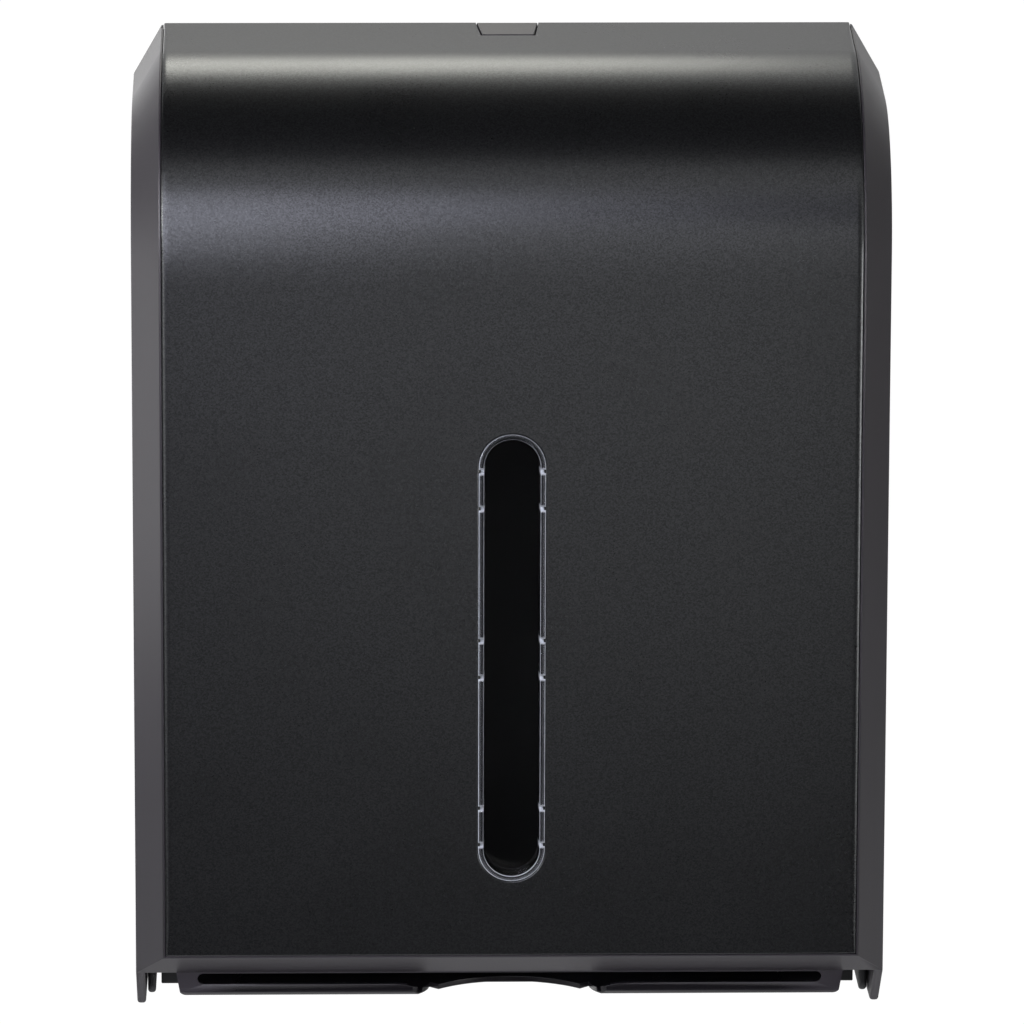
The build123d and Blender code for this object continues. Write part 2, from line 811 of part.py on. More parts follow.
def rear_housing():
    """The moulded back: plate, side flanges, top flange, towel rails and wall screw bosses."""
    housing = back_plate() + both_sides(side_flange())
    bore_end = flange_inner - pin_boss_length - overrun
    bore = side_rod(hinge_out, hinge_z, pin_radius + pin_press_gap, bore_end, half_width)
    housing -= both_sides(bore)
    latch_half = bracket_width / 2 + button_clearance
    top_low_z = back_top_z - top_flange_thickness
    top_reach = back_thickness + top_flange_reach
    housing += both_sides(block(latch_half, top_flange_half_width, 0, top_reach, top_low_z, back_top_z))
    rib_out = back_thickness + rail_rib_height
    rib_low_z = floor_top_z + rail_rib_low_rise
    rib_top_z = back_top_z - rail_rib_top_drop
    for x in rail_rib_half_spacings:
        rib = block(x - rail_rib_thickness / 2, x + rail_rib_thickness / 2, 0, rib_out, rib_low_z, rib_top_z)
        housing += both_sides(rib)
    for place in GridLocations(wall_screw_spacing_x, wall_screw_spacing_z, 2, 2):
        x = place.position.X
        z = place.position.Y
        housing += out_rod(x, z, wall_boss_radius, 0, back_thickness + wall_boss_height)
        housing -= out_rod(x, z, wall_screw_hole_radius, -overrun, back_thickness + wall_boss_height + overrun)
    for x, z in bracket_screw_places() + tray_screw_places():
        housing -= out_rod(x, z, screw_radius + screw_fit, -overrun, back_thickness + overrun)
    return housing


def towel_tray():
    """The fixed shelf behind the throat, with a screwed back, a turned-down lip and ribs."""
    boss_half = flange_inner - pin_boss_length - tray_boss_gap
    boss_out = hinge_out + pin_boss_radius + tray_boss_gap
    tray = block(-boss_half, boss_half, back_thickness, tray_reach, tray_low_z, floor_top_z)
    tray += block(-tray_half, tray_half, boss_out, tray_reach, tray_low_z, floor_top_z)
    lip_out = tray_reach - tray_lip_thickness
    lip_low_z = floor_top_z - tray_lip_drop
    tray += block(-tray_half, tray_half, lip_out, tray_reach, lip_low_z, floor_top_z)
    seat_out = back_thickness + tray_back_thickness
    back_top = floor_top_z + tray_back_height
    tray += block(-boss_half, boss_half, back_thickness, seat_out, tray_low_z, back_top)
    rib_step = 2 * boss_half / (tray_rib_count + 1)
    for number in range(tray_rib_count):
        x = (number + 1) * rib_step - boss_half
        tray += block(
            x - tray_rib_thickness / 2, x + tray_rib_thickness / 2, seat_out, tray_reach, lip_low_z, floor_top_z
        )
    for x, z in tray_screw_places():
        tray -= out_rod(x, z, screw_radius + screw_fit, 0, seat_out + overrun)
    return tray


def hinge_pin():
    """The right hinge pin: a flush head in the cover's lug and a shank pressed into the housing."""
    head_low = half_width - pin_head_thickness
    shank_low = flange_inner - pin_boss_length + pin_end_gap
    shank = side_rod(hinge_out, hinge_z, pin_radius, shank_low, head_low)
    return shank + side_rod(hinge_out, hinge_z, pin_head_radius, head_low, half_width)


right_pin = hinge_pin()
parts = {
    "rear_housing": rear_housing(),
    "towel_tray": towel_tray(),
    "tray_screws": wall_screws(tray_screw_places(), back_thickness + tray_back_thickness),
    "latch_bracket": latch_bracket(),
    "bracket_screws": wall_screws(bracket_screw_places(), bracket_out),
    "latch_button": latch_button(),
    "catch_spring": catch_spring(),
    "spring_screw": spring_screw(),
    "hinge_pin_right": right_pin,
    "hinge_pin_left": mirror(right_pin, about=Plane.YZ),
    "cover_frame": cover_frame(),
    "front_panel": front_panel(),
    "panel_screws": panel_screws(),
    "window_lens": window_lens(),
    "latch_keeper": keeper(),
    "keeper_screws": keeper_screws(),
}

os.makedirs("parts", exist_ok=True)
for name, shape in parts.items():
    export_step(shape, f"parts/{name}.step")
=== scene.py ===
import logging
import math
from dataclasses import dataclass
from enum import Enum
from typing import Any, ClassVar, Iterable, Sequence

import bmesh
import bpy
from mathutils import Matrix, Vector


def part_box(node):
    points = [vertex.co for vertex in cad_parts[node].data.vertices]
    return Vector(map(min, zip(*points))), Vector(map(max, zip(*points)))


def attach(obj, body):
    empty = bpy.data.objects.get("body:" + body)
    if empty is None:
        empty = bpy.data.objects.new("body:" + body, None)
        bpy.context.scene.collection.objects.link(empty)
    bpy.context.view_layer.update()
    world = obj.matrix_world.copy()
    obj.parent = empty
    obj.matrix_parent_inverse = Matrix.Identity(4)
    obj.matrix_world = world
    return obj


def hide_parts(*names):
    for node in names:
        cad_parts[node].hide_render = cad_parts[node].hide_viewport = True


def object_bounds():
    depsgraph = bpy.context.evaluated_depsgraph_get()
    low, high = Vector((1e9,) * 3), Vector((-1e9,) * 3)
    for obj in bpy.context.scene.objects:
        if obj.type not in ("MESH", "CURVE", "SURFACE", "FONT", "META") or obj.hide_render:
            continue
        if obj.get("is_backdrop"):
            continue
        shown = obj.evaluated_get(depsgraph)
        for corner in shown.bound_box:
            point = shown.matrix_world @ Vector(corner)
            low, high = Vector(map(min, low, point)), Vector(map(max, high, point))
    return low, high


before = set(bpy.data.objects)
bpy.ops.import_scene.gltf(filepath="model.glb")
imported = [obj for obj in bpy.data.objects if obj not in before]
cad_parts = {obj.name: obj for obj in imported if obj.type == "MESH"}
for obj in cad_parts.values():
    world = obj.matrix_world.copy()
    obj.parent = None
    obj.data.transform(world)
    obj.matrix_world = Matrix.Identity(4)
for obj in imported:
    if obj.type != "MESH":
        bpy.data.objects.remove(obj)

LOG = logging.getLogger("towel_dispenser")
MERGE_DISTANCE = 0.000002

Colour = tuple[float, float, float, float]
Place = tuple[float, float, float]
Loop = list[Vector]
Ring = list[bmesh.types.BMVert]


class Body(Enum):
    """The bodies that the pieces ride on."""

    HOUSING = "housing"
    COVER = "cover"
    BUTTON = "button"


class Slot(Enum):
    """The record's material slots."""

    FRAME = "frame_plastic"
    PANEL = "panel_plastic"
    LENS = "clear_lens"
    HOUSING = "housing_plastic"
    STEEL = "steel"
    SPRING = "spring_steel"


def grey(level: float, warmth: float = 0.0) -> Colour:
    """A grey, a little warmer or cooler than neutral.

    Args:
        level: Linear brightness.
        warmth: Share by which red rises and blue falls.

    Returns:
        The colour with full alpha.
    """
    return (level * (1 + warmth), level, level * (1 - warmth), 1.0)


# Node trees


class Wire:
    """One output socket whose arithmetic adds Math nodes."""

    def __init__(self, sheet: "NodeSheet", socket: bpy.types.NodeSocket | None) -> None:
        """Keeps the socket and the sheet that it belongs to."""
        self.sheet = sheet
        self.socket = socket

    def _math(self, operation: str, first: "Feed", second: "Feed") -> "Wire":
        """Adds one Math node."""
        return self.sheet.node("ShaderNodeMath", {"operation": operation}, {0: first, 1: second})

    def __add__(self, other: "Feed") -> "Wire":
        """Sum."""
        return self._math("ADD", self, other)

    __radd__ = __add__

    def __sub__(self, other: "Feed") -> "Wire":
        """Difference."""
        return self._math("SUBTRACT", self, other)

    def __rsub__(self, other: "Feed") -> "Wire":
        """Difference with a number on the left."""
        return self._math("SUBTRACT", other, self)

    def __mul__(self, other: "Feed") -> "Wire":
        """Product."""
        return self._math("MULTIPLY", self, other)

    def __truediv__(self, other: "Feed") -> "Wire":
        """Quotient."""
        return self._math("DIVIDE", self, other)

    def __gt__(self, other: "Feed") -> "Wire":
        """One where this value is the greater, else zero."""
        return self._math("GREATER_THAN", self, other)


Feed = Wire | float | Sequence[float] | Sequence[Wire]


class NodeSheet:
    """A node tree that is filled by expressions."""

    def __init__(self, tree: bpy.types.NodeTree) -> None:
        """Empties the tree."""
        self.tree = tree
        tree.nodes.clear()

    def node(
        self,
        kind: str,
        settings: dict[str, Any] | None = None,
        inputs: dict[Any, Feed] | None = None,
        output: int | str = 0,
    ) -> Wire:
        """Adds a node.

        Args:
            kind: The node's type.
            settings: Properties, set before the sockets.
            inputs: Values or wires for the sockets, by name or number.
            output: The output that is returned.

        Returns:
            The chosen output. An output node has none.
        """
        made = self.tree.nodes.new(kind)
        for name, value in (settings or {}).items():
            setattr(made, name, value)
        for name, value in (inputs or {}).items():
            self._feed(made.inputs[name], value)
        return Wire(self, made.outputs[output] if made.outputs else None)

    def _feed(self, socket: bpy.types.NodeSocket, value: Feed) -> None:
        """Links one wire or several to a socket, or sets the socket's own value.

        Args:
            socket: The input.
            value: A wire, a list of wires or a plain value.
        """
        wires = value if isinstance(value, list) else [value]
        if isinstance(wires[0], Wire):
            for wire in wires:
                self.tree.links.new(wire.socket, socket)
        else:
            socket.default_value = value


class ShaderSheet(NodeSheet):
    """A shader tree with the textures that the finishes share."""

    def object_point(self, stretch: Sequence[float] = (1.0, 1.0, 1.0)) -> Wire:
        """Object coordinates in metres, stretched along the axes."""
        point = self.node("ShaderNodeTexCoord", output="Object")
        return self.node("ShaderNodeMapping", {}, {"Vector": point, "Scale": stretch})

    def axis(self, point: Wire, name: str) -> Wire:
        """One coordinate of a point."""
        return self.node("ShaderNodeSeparateXYZ", {}, {0: point}, name)

    def noise(self, point: Wire, grain: float, detail: float = 2.0, rough: float = 0.5) -> Wire:
        """Noise from 0 to 1.

        Args:
            point: Where it is read.
            grain: Size of a blob in metres.
            detail: Octaves.
            rough: Strength of the finer octaves.

        Returns:
            The noise value.
        """
        sockets = {"Vector": point, "Scale": 1 / grain, "Detail": detail, "Roughness": rough}
        return self.node("ShaderNodeTexNoise", {}, sockets)

    def swing(self, noise: Wire, spread: float) -> Wire:
        """Noise turned into a change up and down about zero."""
        return noise * spread - spread / 2

    def cells(self, point: Wire, grain: float) -> Wire:
        """A random value from 0 to 1 for each cell of a given size."""
        sockets = {"Vector": point, "Scale": 1 / grain}
        colour = self.node("ShaderNodeTexVoronoi", {}, sockets, "Color")
        return self.node("ShaderNodeSeparateColor", {}, {0: colour})

    def ramp(self, value: Wire, low: float, high: float) -> Wire:
        """The value rescaled so that low becomes 0 and high becomes 1, clamped."""
        sockets = {"Value": value, "From Min": low, "From Max": high}
        return self.node("ShaderNodeMapRange", {"clamp": True}, sockets)

    def blend(self, share: Feed, first: Any, second: Any) -> Wire:
        """A colour between two colours."""
        sockets = {0: share, 6: first, 7: second}
        return self.node("ShaderNodeMix", {"data_type": "RGBA"}, sockets, 2)

    def bump(self, height: Wire, depth: float, strength: float) -> Wire:
        """A normal from a height of 0 to 1 that stands for a depth in metres."""
        sockets = {"Height": height, "Distance": depth, "Strength": strength}
        return self.node("ShaderNodeBump", {}, sockets)

    def plastic(self, inputs: dict[str, Feed]) -> Wire:
        """A surface shader with the given sockets."""
        return self.node("ShaderNodeBsdfPrincipled", {}, inputs)

    def mixed(self, share: Wire, first: Wire, second: Wire) -> Wire:
        """A shader between two shaders."""
        return self.node("ShaderNodeMixShader", {}, {0: share, 1: first, 2: second})

    def finish(self, surface: Wire) -> None:
        """Makes a shader the material's surface."""
        self.node("ShaderNodeOutputMaterial", {}, {"Surface": surface})


class GeometrySheet(NodeSheet):
    """A geometry tree with named inputs."""

    def __init__(self, title: str, asks: dict[str, str]) -> None:
        """Makes the tree and its inputs.

        Args:
            title: The tree's name.
            asks: The inputs' names, with their socket types.
        """
        super().__init__(bpy.data.node_groups.new(title, "GeometryNodeTree"))
        self.identifiers: dict[str, str] = {}
        for name, kind in asks.items():
            socket = self.tree.interface.new_socket(name, in_out="INPUT", socket_type=kind)
            self.identifiers[name] = socket.identifier
        self.tree.interface.new_socket("Result", in_out="OUTPUT", socket_type="NodeSocketGeometry")
        self.entry = self.tree.nodes.new("NodeGroupInput")

    def asked(self, name: str) -> Wire:
        """One of the tree's inputs."""
        return Wire(self, self.entry.outputs[name])

    def moved(self, shape: Wire, z: Feed) -> Wire:
        """A shape moved along Z."""
        place = self.node("ShaderNodeCombineXYZ", {}, {"Z": z})
        return self.node("GeometryNodeTransform", {}, {"Geometry": shape, "Translation": place})

    def cylinder(self, radius: Feed, depth: Feed, sides: int) -> Wire:
        """A cylinder that stands on Z = 0."""
        sockets = {"Vertices": sides, "Radius": radius, "Depth": depth}
        return self.moved(self.node("GeometryNodeMeshCylinder", {}, sockets), depth * 0.5)

    def cut(self, operation: str, first: Wire, *others: Wire) -> Wire:
        """Shapes combined by a boolean.

        Args:
            operation: The kind of boolean.
            first: The shape that a difference cuts.
            others: The other shapes.

        Returns:
            The combined shape.
        """
        sockets: dict[str, Feed] = {"Mesh 2": [first, *others]}
        if operation == "DIFFERENCE":
            sockets = {"Mesh 1": first, "Mesh 2": [*others]}
        return self.node("GeometryNodeMeshBoolean", {"operation": operation}, sockets)

    def give(self, shape: Wire) -> None:
        """Makes a shape the tree's result."""
        self.node("NodeGroupOutput", {}, {"Result": shape})


# Finishes


class Finish:
    """A material that is made once and shared by the pieces that carry it."""

    title: ClassVar[str]
    slot: ClassVar[Slot]

    def material(self) -> bpy.types.Material:
        """Makes the finish's material on first use.

        Returns:
            The material.
        """
        made = bpy.data.materials.get(self.title)
        if made is None:
            made = bpy.data.materials.new(self.title)
            made.use_nodes = True
            self.paint(ShaderSheet(made.node_tree))
        return made

    def paint(self, sheet: ShaderSheet) -> None:
        """Fills the material's nodes."""
        raise NotImplementedError


@dataclass(frozen=True)
class PearlBlack(Finish):
    """Black moulded panel with fine metal flakes in it."""

    title = "pearl_black_panel"
    slot = Slot.PANEL
    dark_flake: Colour = grey(0.027, -0.02)
    pale_flake: Colour = grey(0.050, -0.03)
    flake_grain: float = 0.00045
    metal_share: float = 0.85
    gloss_roughness: float = 0.265
    peel_grain: float = 0.0008
    peel_depth: float = 0.00001
    peel_rise: float = 0.04
    haze_grain: float = 0.05
    haze_spread: float = 0.06

    def paint(self, sheet: ShaderSheet) -> None:
        """Scatters flakes, a faint orange peel and a soft haze of handling.

        Args:
            sheet: The material's nodes.
        """
        point = sheet.object_point()
        flake = sheet.cells(point, self.flake_grain)
        haze = sheet.noise(point, self.haze_grain, detail=3.0)
        peel = sheet.noise(point, self.peel_grain)
        rough = self.gloss_roughness + sheet.swing(haze, self.haze_spread)
        sheet.finish(sheet.plastic({
            "Base Color": sheet.blend(flake, self.dark_flake, self.pale_flake),
            "Roughness": rough + peel * self.peel_rise,
            "Metallic": self.metal_share,
            "Normal": sheet.bump(peel, self.peel_depth, strength=0.6),
        }))


@dataclass(frozen=True)
class SatinCharcoal(Finish):
    """Charcoal moulded plastic with a fine spark-eroded texture."""

    title = "satin_charcoal_frame"
    slot = Slot.FRAME
    shade: Colour = (0.0190, 0.0160, 0.0202, 1.0)
    light_shade: Colour = (0.0255, 0.0218, 0.0272, 1.0)
    satin_roughness: float = 0.42
    texture_grain: float = 0.00055
    texture_depth: float = 0.000018
    texture_spread: float = 0.12
    texture_share: float = 0.55
    flow_grain: float = 0.035
    flow_rise: float = 0.05
    mottle_low: float = 0.3
    mottle_high: float = 0.72
    # Painted shade: the lip's face is darkened to stand for the shade that falls on it below the
    # bevel.
    painted_lip_shade: Colour = (0.0085, 0.0075, 0.0090, 1.0)
    lip_polish: float = 0.20
    lip_top: float = -0.1672
    lip_full: float = -0.1684
    lip_end: float = 0.118
    lip_inside: float = 0.100

    def paint(self, sheet: ShaderSheet) -> None:
        """Adds a fine texture, slow colour change from moulding, and on the lip a lower roughness
        with painted shade.

        Args:
            sheet: The material's nodes.
        """
        point = sheet.object_point()
        across = sheet.axis(point, "X")
        # The lip mask lowers the roughness and paints shade: it darkens the lip's colour where
        # shade falls.
        lip = sheet.ramp(sheet.axis(point, "Z"), self.lip_top, self.lip_full)
        lip = lip * sheet.ramp(across * across, self.lip_end ** 2, self.lip_inside ** 2)
        texture = sheet.noise(point, self.texture_grain, detail=3.0, rough=0.6)
        flow = sheet.noise(point, self.flow_grain)
        mottle = texture * self.texture_share + flow * (1 - self.texture_share)
        share = sheet.ramp(mottle, self.mottle_low, self.mottle_high)
        shade = sheet.blend(share, self.shade, self.light_shade)
        rough = self.satin_roughness + sheet.swing(texture, self.texture_spread)
        sheet.finish(sheet.plastic({
            "Base Color": sheet.blend(lip, shade, self.painted_lip_shade),
            "Roughness": rough + flow * self.flow_rise - lip * self.lip_polish,
            "Normal": sheet.bump(texture, self.texture_depth, strength=0.7),
        }))


@dataclass(frozen=True)
class MouldedBlack(Finish):
    """Black structural plastic of the housing, tray and bracket."""

    title = "moulded_black_housing"
    slot = Slot.HOUSING
    shade: Colour = grey(0.011, -0.03)
    scuff_shade: Colour = grey(0.032, -0.02)
    matt_roughness: float = 0.55
    texture_grain: float = 0.0009
    texture_depth: float = 0.00003
    texture_spread: float = 0.14
    scuff_grain: float = 0.012
    scuff_low: float = 0.55
    scuff_high: float = 0.8
    scuff_rise: float = 0.12

    def paint(self, sheet: ShaderSheet) -> None:
        """Adds a coarser leather-like texture and dry scuffs.

        Args:
            sheet: The material's nodes.
        """
        point = sheet.object_point()
        texture = sheet.noise(point, self.texture_grain, detail=3.0, rough=0.6)
        patches = sheet.noise(point, self.scuff_grain, detail=6.0, rough=0.65)
        scuff = sheet.ramp(patches, self.scuff_low, self.scuff_high)
        rough = self.matt_roughness + sheet.swing(texture, self.texture_spread)
        sheet.finish(sheet.plastic({
            "Base Color": sheet.blend(scuff * texture, self.shade, self.scuff_shade),
            "Roughness": rough + scuff * self.scuff_rise,
            "Normal": sheet.bump(texture, self.texture_depth, strength=0.8),
        }))


@dataclass(frozen=True)
class ZincSteel(Finish):
    """Bright zinc-plated steel of the screws, pins and keeper."""

    title = "zinc_plated_steel"
    slot = Slot.STEEL
    zinc: Colour = (0.60, 0.60, 0.57, 1.0)
    dull_zinc: Colour = (0.36, 0.36, 0.35, 1.0)
    plated_roughness: float = 0.30
    spangle_grain: float = 0.0022
    spangle_dulling: float = 0.5
    spangle_rise: float = 0.12
    mark_grain: float = 0.0005
    mark_depth: float = 0.00001
    mark_dulling: float = 0.4
    mark_rise: float = 0.08

    def paint(self, sheet: ShaderSheet) -> None:
        """Adds spangle patches and fine tool marks.

        Args:
            sheet: The material's nodes.
        """
        point = sheet.object_point()
        spangle = sheet.cells(point, self.spangle_grain)
        mark = sheet.noise(point, self.mark_grain, detail=3.0)
        dull = spangle * self.spangle_dulling + mark * self.mark_dulling
        rough = self.plated_roughness + spangle * self.spangle_rise
        sheet.finish(sheet.plastic({
            "Base Color": sheet.blend(dull, self.zinc, self.dull_zinc),
            "Roughness": rough + mark * self.mark_rise,
            "Metallic": 1.0,
            "Normal": sheet.bump(mark, self.mark_depth, strength=0.5),
        }))


@dataclass(frozen=True)
class BlueSpringSteel(Finish):
    """Tempered strip steel with a drawn grain along its length."""

    title = "tempered_spring_steel"
    slot = Slot.SPRING
    steel: Colour = (0.30, 0.32, 0.36, 1.0)
    tempered: Colour = (0.17, 0.18, 0.22, 1.0)
    rolled_roughness: float = 0.26
    line_grain: float = 0.0004
    line_stretch: Place = (1.0, 0.06, 0.06)
    line_depth: float = 0.000008
    line_rise: float = 0.16
    temper_grain: float = 0.012

    def paint(self, sheet: ShaderSheet) -> None:
        """Draws lines along the strip and a slow temper colour.

        Args:
            sheet: The material's nodes.
        """
        lines = sheet.noise(sheet.object_point(self.line_stretch), self.line_grain)
        temper = sheet.noise(sheet.object_point(), self.temper_grain)
        sheet.finish(sheet.plastic({
            "Base Color": sheet.blend(temper, self.steel, self.tempered),
            "Roughness": self.rolled_roughness + lines * self.line_rise,
            "Metallic": 1.0,
            "Normal": sheet.bump(lines, self.line_depth, strength=0.5),
        }))


@dataclass(frozen=True)
class ClearLens(Finish):
    """Clear moulded plastic, with highlights painted on its edges as a pale colour and painted
    shade on its wall.
    """

    title = "clear_window_lens"
    slot = Slot.LENS
    clear: Colour = (0.76, 0.77, 0.78, 1.0)
    clear_index: float = 1.22
    clear_roughness: float = 0.015
    smear_grain: float = 0.009
    smear_low: float = 0.45
    smear_high: float = 0.8
    smear_rise: float = 0.03
    painted_shade_colour: Colour = grey(0.012)
    wall_roughness: float = 0.4
    edge_name: str = "bright_edge"
    painted_glint_colour: Colour = (0.80, 0.84, 0.88, 1.0)
    edge_roughness: float = 0.3
    wear_grain: float = 0.0016
    wear_rise: float = 0.2
    painted_glint_least: float = 0.55
    painted_glint_rise: float = 0.5

    def paint(self, sheet: ShaderSheet) -> None:
        """Leaves the face clear with faint smears, paints shade on the wall with a dark colour and
        paints highlights on the edges with a pale one.

        Args:
            sheet: The material's nodes.
        """
        point = sheet.object_point()
        patches = sheet.noise(point, self.smear_grain, detail=4.0)
        smear = sheet.ramp(patches, self.smear_low, self.smear_high)
        clear = sheet.plastic({
            "Base Color": self.clear,
            "Roughness": self.clear_roughness + smear * self.smear_rise,
            "IOR": self.clear_index,
            "Transmission Weight": 1.0,
        })
        wear = sheet.noise(point, self.wear_grain)
        rough = wear * self.wear_rise
        painted_glint_shader = sheet.plastic({
            "Base Color": self.painted_glint_colour, "Roughness": self.edge_roughness + rough,
        })
        painted_shade_shader = sheet.plastic({
            "Base Color": self.painted_shade_colour, "Roughness": self.wall_roughness + rough,
        })
        edge = sheet.node("ShaderNodeAttribute", {"attribute_name": self.edge_name}, output="Fac")
        # Negative values of the attribute paint the wall dark, as painted shade for the dark
        # inside; positive values paint pale highlights on the rims.
        wall = sheet.mixed(sheet.ramp(0.0 - edge, 0.0, 1.0), clear, painted_shade_shader)
        painted_glint = sheet.ramp(edge, 0.0, 1.0) * (self.painted_glint_least + wear * self.painted_glint_rise)
        sheet.finish(sheet.mixed(painted_glint, wall, painted_glint_shader))


# Mesh helpers


def new_piece(name: str, mesh: bpy.types.Mesh) -> bpy.types.Object:
    """Links a mesh to the scene as an object at the origin.

    Args:
        name: The object's name.
        mesh: Its mesh.

    Returns:
        The object.
    """
    piece = bpy.data.objects.new(name, mesh)
    bpy.context.scene.collection.objects.link(piece)
    return piece


def mesh_from(bm: bmesh.types.BMesh, name: str) -> bpy.types.Mesh:
    """Turns a closed bmesh into a smooth mesh whose faces point outwards.

    Args:
        bm: The shape. It is freed.
        name: The mesh's name.

    Returns:
        The mesh.
    """
    bmesh.ops.recalc_face_normals(bm, faces=bm.faces)
    for face in bm.faces:
        face.smooth = True
    mesh = bpy.data.meshes.new(name)
    bm.to_mesh(mesh)
    bm.free()
    return mesh


def merged_copy(node: str) -> bmesh.types.BMesh:
    """Copies a node's mesh and merges its loose triangles.

    Args:
        node: The node's name.

    Returns:
        The copy.
    """
    bm = bmesh.new()
    bm.from_mesh(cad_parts[node].data)
    bmesh.ops.remove_doubles(bm, verts=bm.verts, dist=MERGE_DISTANCE)
    return bm


def weigh_normals(piece: bpy.types.Object) -> None:
    """Lets the larger faces set the shading, so that flats stay flat beside small rounds.

    Args:
        piece: The piece to shade.
    """
    modifier = piece.modifiers.new("flat_faces_lead", "WEIGHTED_NORMAL")
    modifier.weight = 100
    modifier.keep_sharp = True


def settle(piece: bpy.types.Object, finish: Finish, body: Body, nodes: Sequence[str]) -> None:
    """Gives a finished piece its material, its body and the nodes that it stands for.

    Args:
        piece: The piece.
        finish: Its finish.
        body: What it moves with.
        nodes: The nodes that it replaces.
    """
    piece.data.materials.clear()
    piece.data.materials.append(finish.material())
    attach(piece, body.value)
    if nodes:
        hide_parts(*nodes)
    LOG.info("%s rides on %s: %d faces", piece.name, body.value, len(piece.data.polygons))


def round_corners(corners: Sequence[tuple[Vector, float]], steps: int) -> Loop:
    """A closed outline through the corners, each with its own radius.

    Args:
        corners: Points in order, with their radii.
        steps: Segments of each round corner.

    Returns:
        The outline's points.
    """
    outline: Loop = []
    for index, (corner, radius) in enumerate(corners):
        before = (corners[index - 1][0] - corner).normalized()
        after = (corners[(index + 1) % len(corners)][0] - corner).normalized()
        half = before.angle(after) / 2
        middle = corner + (before + after).normalized() * radius / math.sin(half)
        start = corner + before * radius / math.tan(half) - middle
        end = corner + after * radius / math.tan(half) - middle
        for step in range(steps + 1):
            outline.append(middle + start.slerp(end, step / steps) * radius)
    return outline


def offset_loop(loop: Loop, distance: float, shares: Sequence[float] | None = None) -> Loop:
    """The loop moved to the left of its direction, corners mitred.

    Args:
        loop: The points in order.
        distance: How far they move.
        shares: Each point's share of the distance, all of it where none is given.

    Returns:
        The moved points.
    """
    moved: Loop = []
    for index, point in enumerate(loop):
        before = (point - loop[index - 1]).normalized()
        after = (loop[(index + 1) % len(loop)] - point).normalized()
        first = Vector((-before.y, before.x))
        second = Vector((-after.y, after.x))
        share = shares[index] if shares else 1.0
        moved.append(point + (first + second) * share * distance / (1 + first.dot(second)))
    return moved


def spaced(loop: Loop, step: float) -> Loop:
    """The loop with more points along its long sides.

    Args:
        loop: The points in order.
        step: How far apart they may lie.

    Returns:
        The old points and the new ones.
    """
    dense: Loop = []
    for point, after in zip(loop, loop[1:] + loop[:1]):
        count = math.ceil((after - point).length / step)
        dense += [point.lerp(after, number / count) for number in range(count)]
    return dense


def obround(half_width: float, half_height: float, middle: float, steps: int) -> Loop:
    """An upright round-ended outline about a place on the centre line.

    Args:
        half_width: Half its width, the radius of its ends.
        half_height: Half its height.
        middle: The place of its middle.
        steps: Segments of each end.

    Returns:
        The outline's points.
    """
    straight = half_height - half_width
    outline: Loop = []
    for end, start in ((straight, 0.0), (-straight, math.pi)):
        for step in range(steps + 1):
            angle = start + math.pi * step / steps
            x, y = half_width * math.cos(angle), half_width * math.sin(angle)
            outline.append(Vector((x, middle + end + y)))
    return outline


def ring_of(bm: bmesh.types.BMesh, loop: Loop, depth: float) -> Ring:
    """Adds a loop's points at a depth."""
    return [bm.verts.new((point.x, point.y, depth)) for point in loop]


def bridge(bm: bmesh.types.BMesh, rings: Sequence[Ring]) -> None:
    """Joins each ring to the next with quads.

    Args:
        bm: The shape.
        rings: Rings with as many points each.
    """
    for first, second in zip(rings, rings[1:]):
        count = len(first)
        for index in range(count):
            after = (index + 1) % count
            bm.faces.new((first[index], first[after], second[after], second[index]))


def fill_between(bm: bmesh.types.BMesh, rings: Sequence[Ring]) -> None:
    """Fills the flat area that the rings bound.

    Args:
        bm: The shape.
        rings: The outer ring and the hole's.
    """
    edges = []
    for ring in rings:
        for index, vertex in enumerate(ring):
            edges.append(bm.edges.get((ring[index - 1], vertex)))
    bmesh.ops.triangle_fill(bm, edges=edges, use_beauty=True)


def quarter_round(radius: float, steps: int) -> list[tuple[float, float]]:
    """Follows a rounded rim down from the face to the side.

    Args:
        radius: The rim's radius.
        steps: Its segments.

    Returns:
        Pairs of inset and depth.
    """
    pairs = []
    for step in range(steps + 1):
        angle = math.pi / 2 * step / steps
        pairs.append((radius * (1 - math.sin(angle)), radius * (1 - math.cos(angle))))
    return pairs


def islands(bm: bmesh.types.BMesh) -> list[list[Vector]]:
    """Parts a shape into its separate solids, in the order of their vertices.

    Args:
        bm: The shape.

    Returns:
        The points of each solid.
    """
    found: list[list[Vector]] = []
    seen: set[bmesh.types.BMVert] = set()
    for first in bm.verts:
        waiting = [first]
        points: list[Vector] = []
        while waiting:
            vertex = waiting.pop()
            if vertex not in seen:
                seen.add(vertex)
                points.append(vertex.co.copy())
                waiting += [edge.other_vert(vertex) for edge in vertex.link_edges]
        if points:
            found.append(points)
    return found


# Sub-assemblies


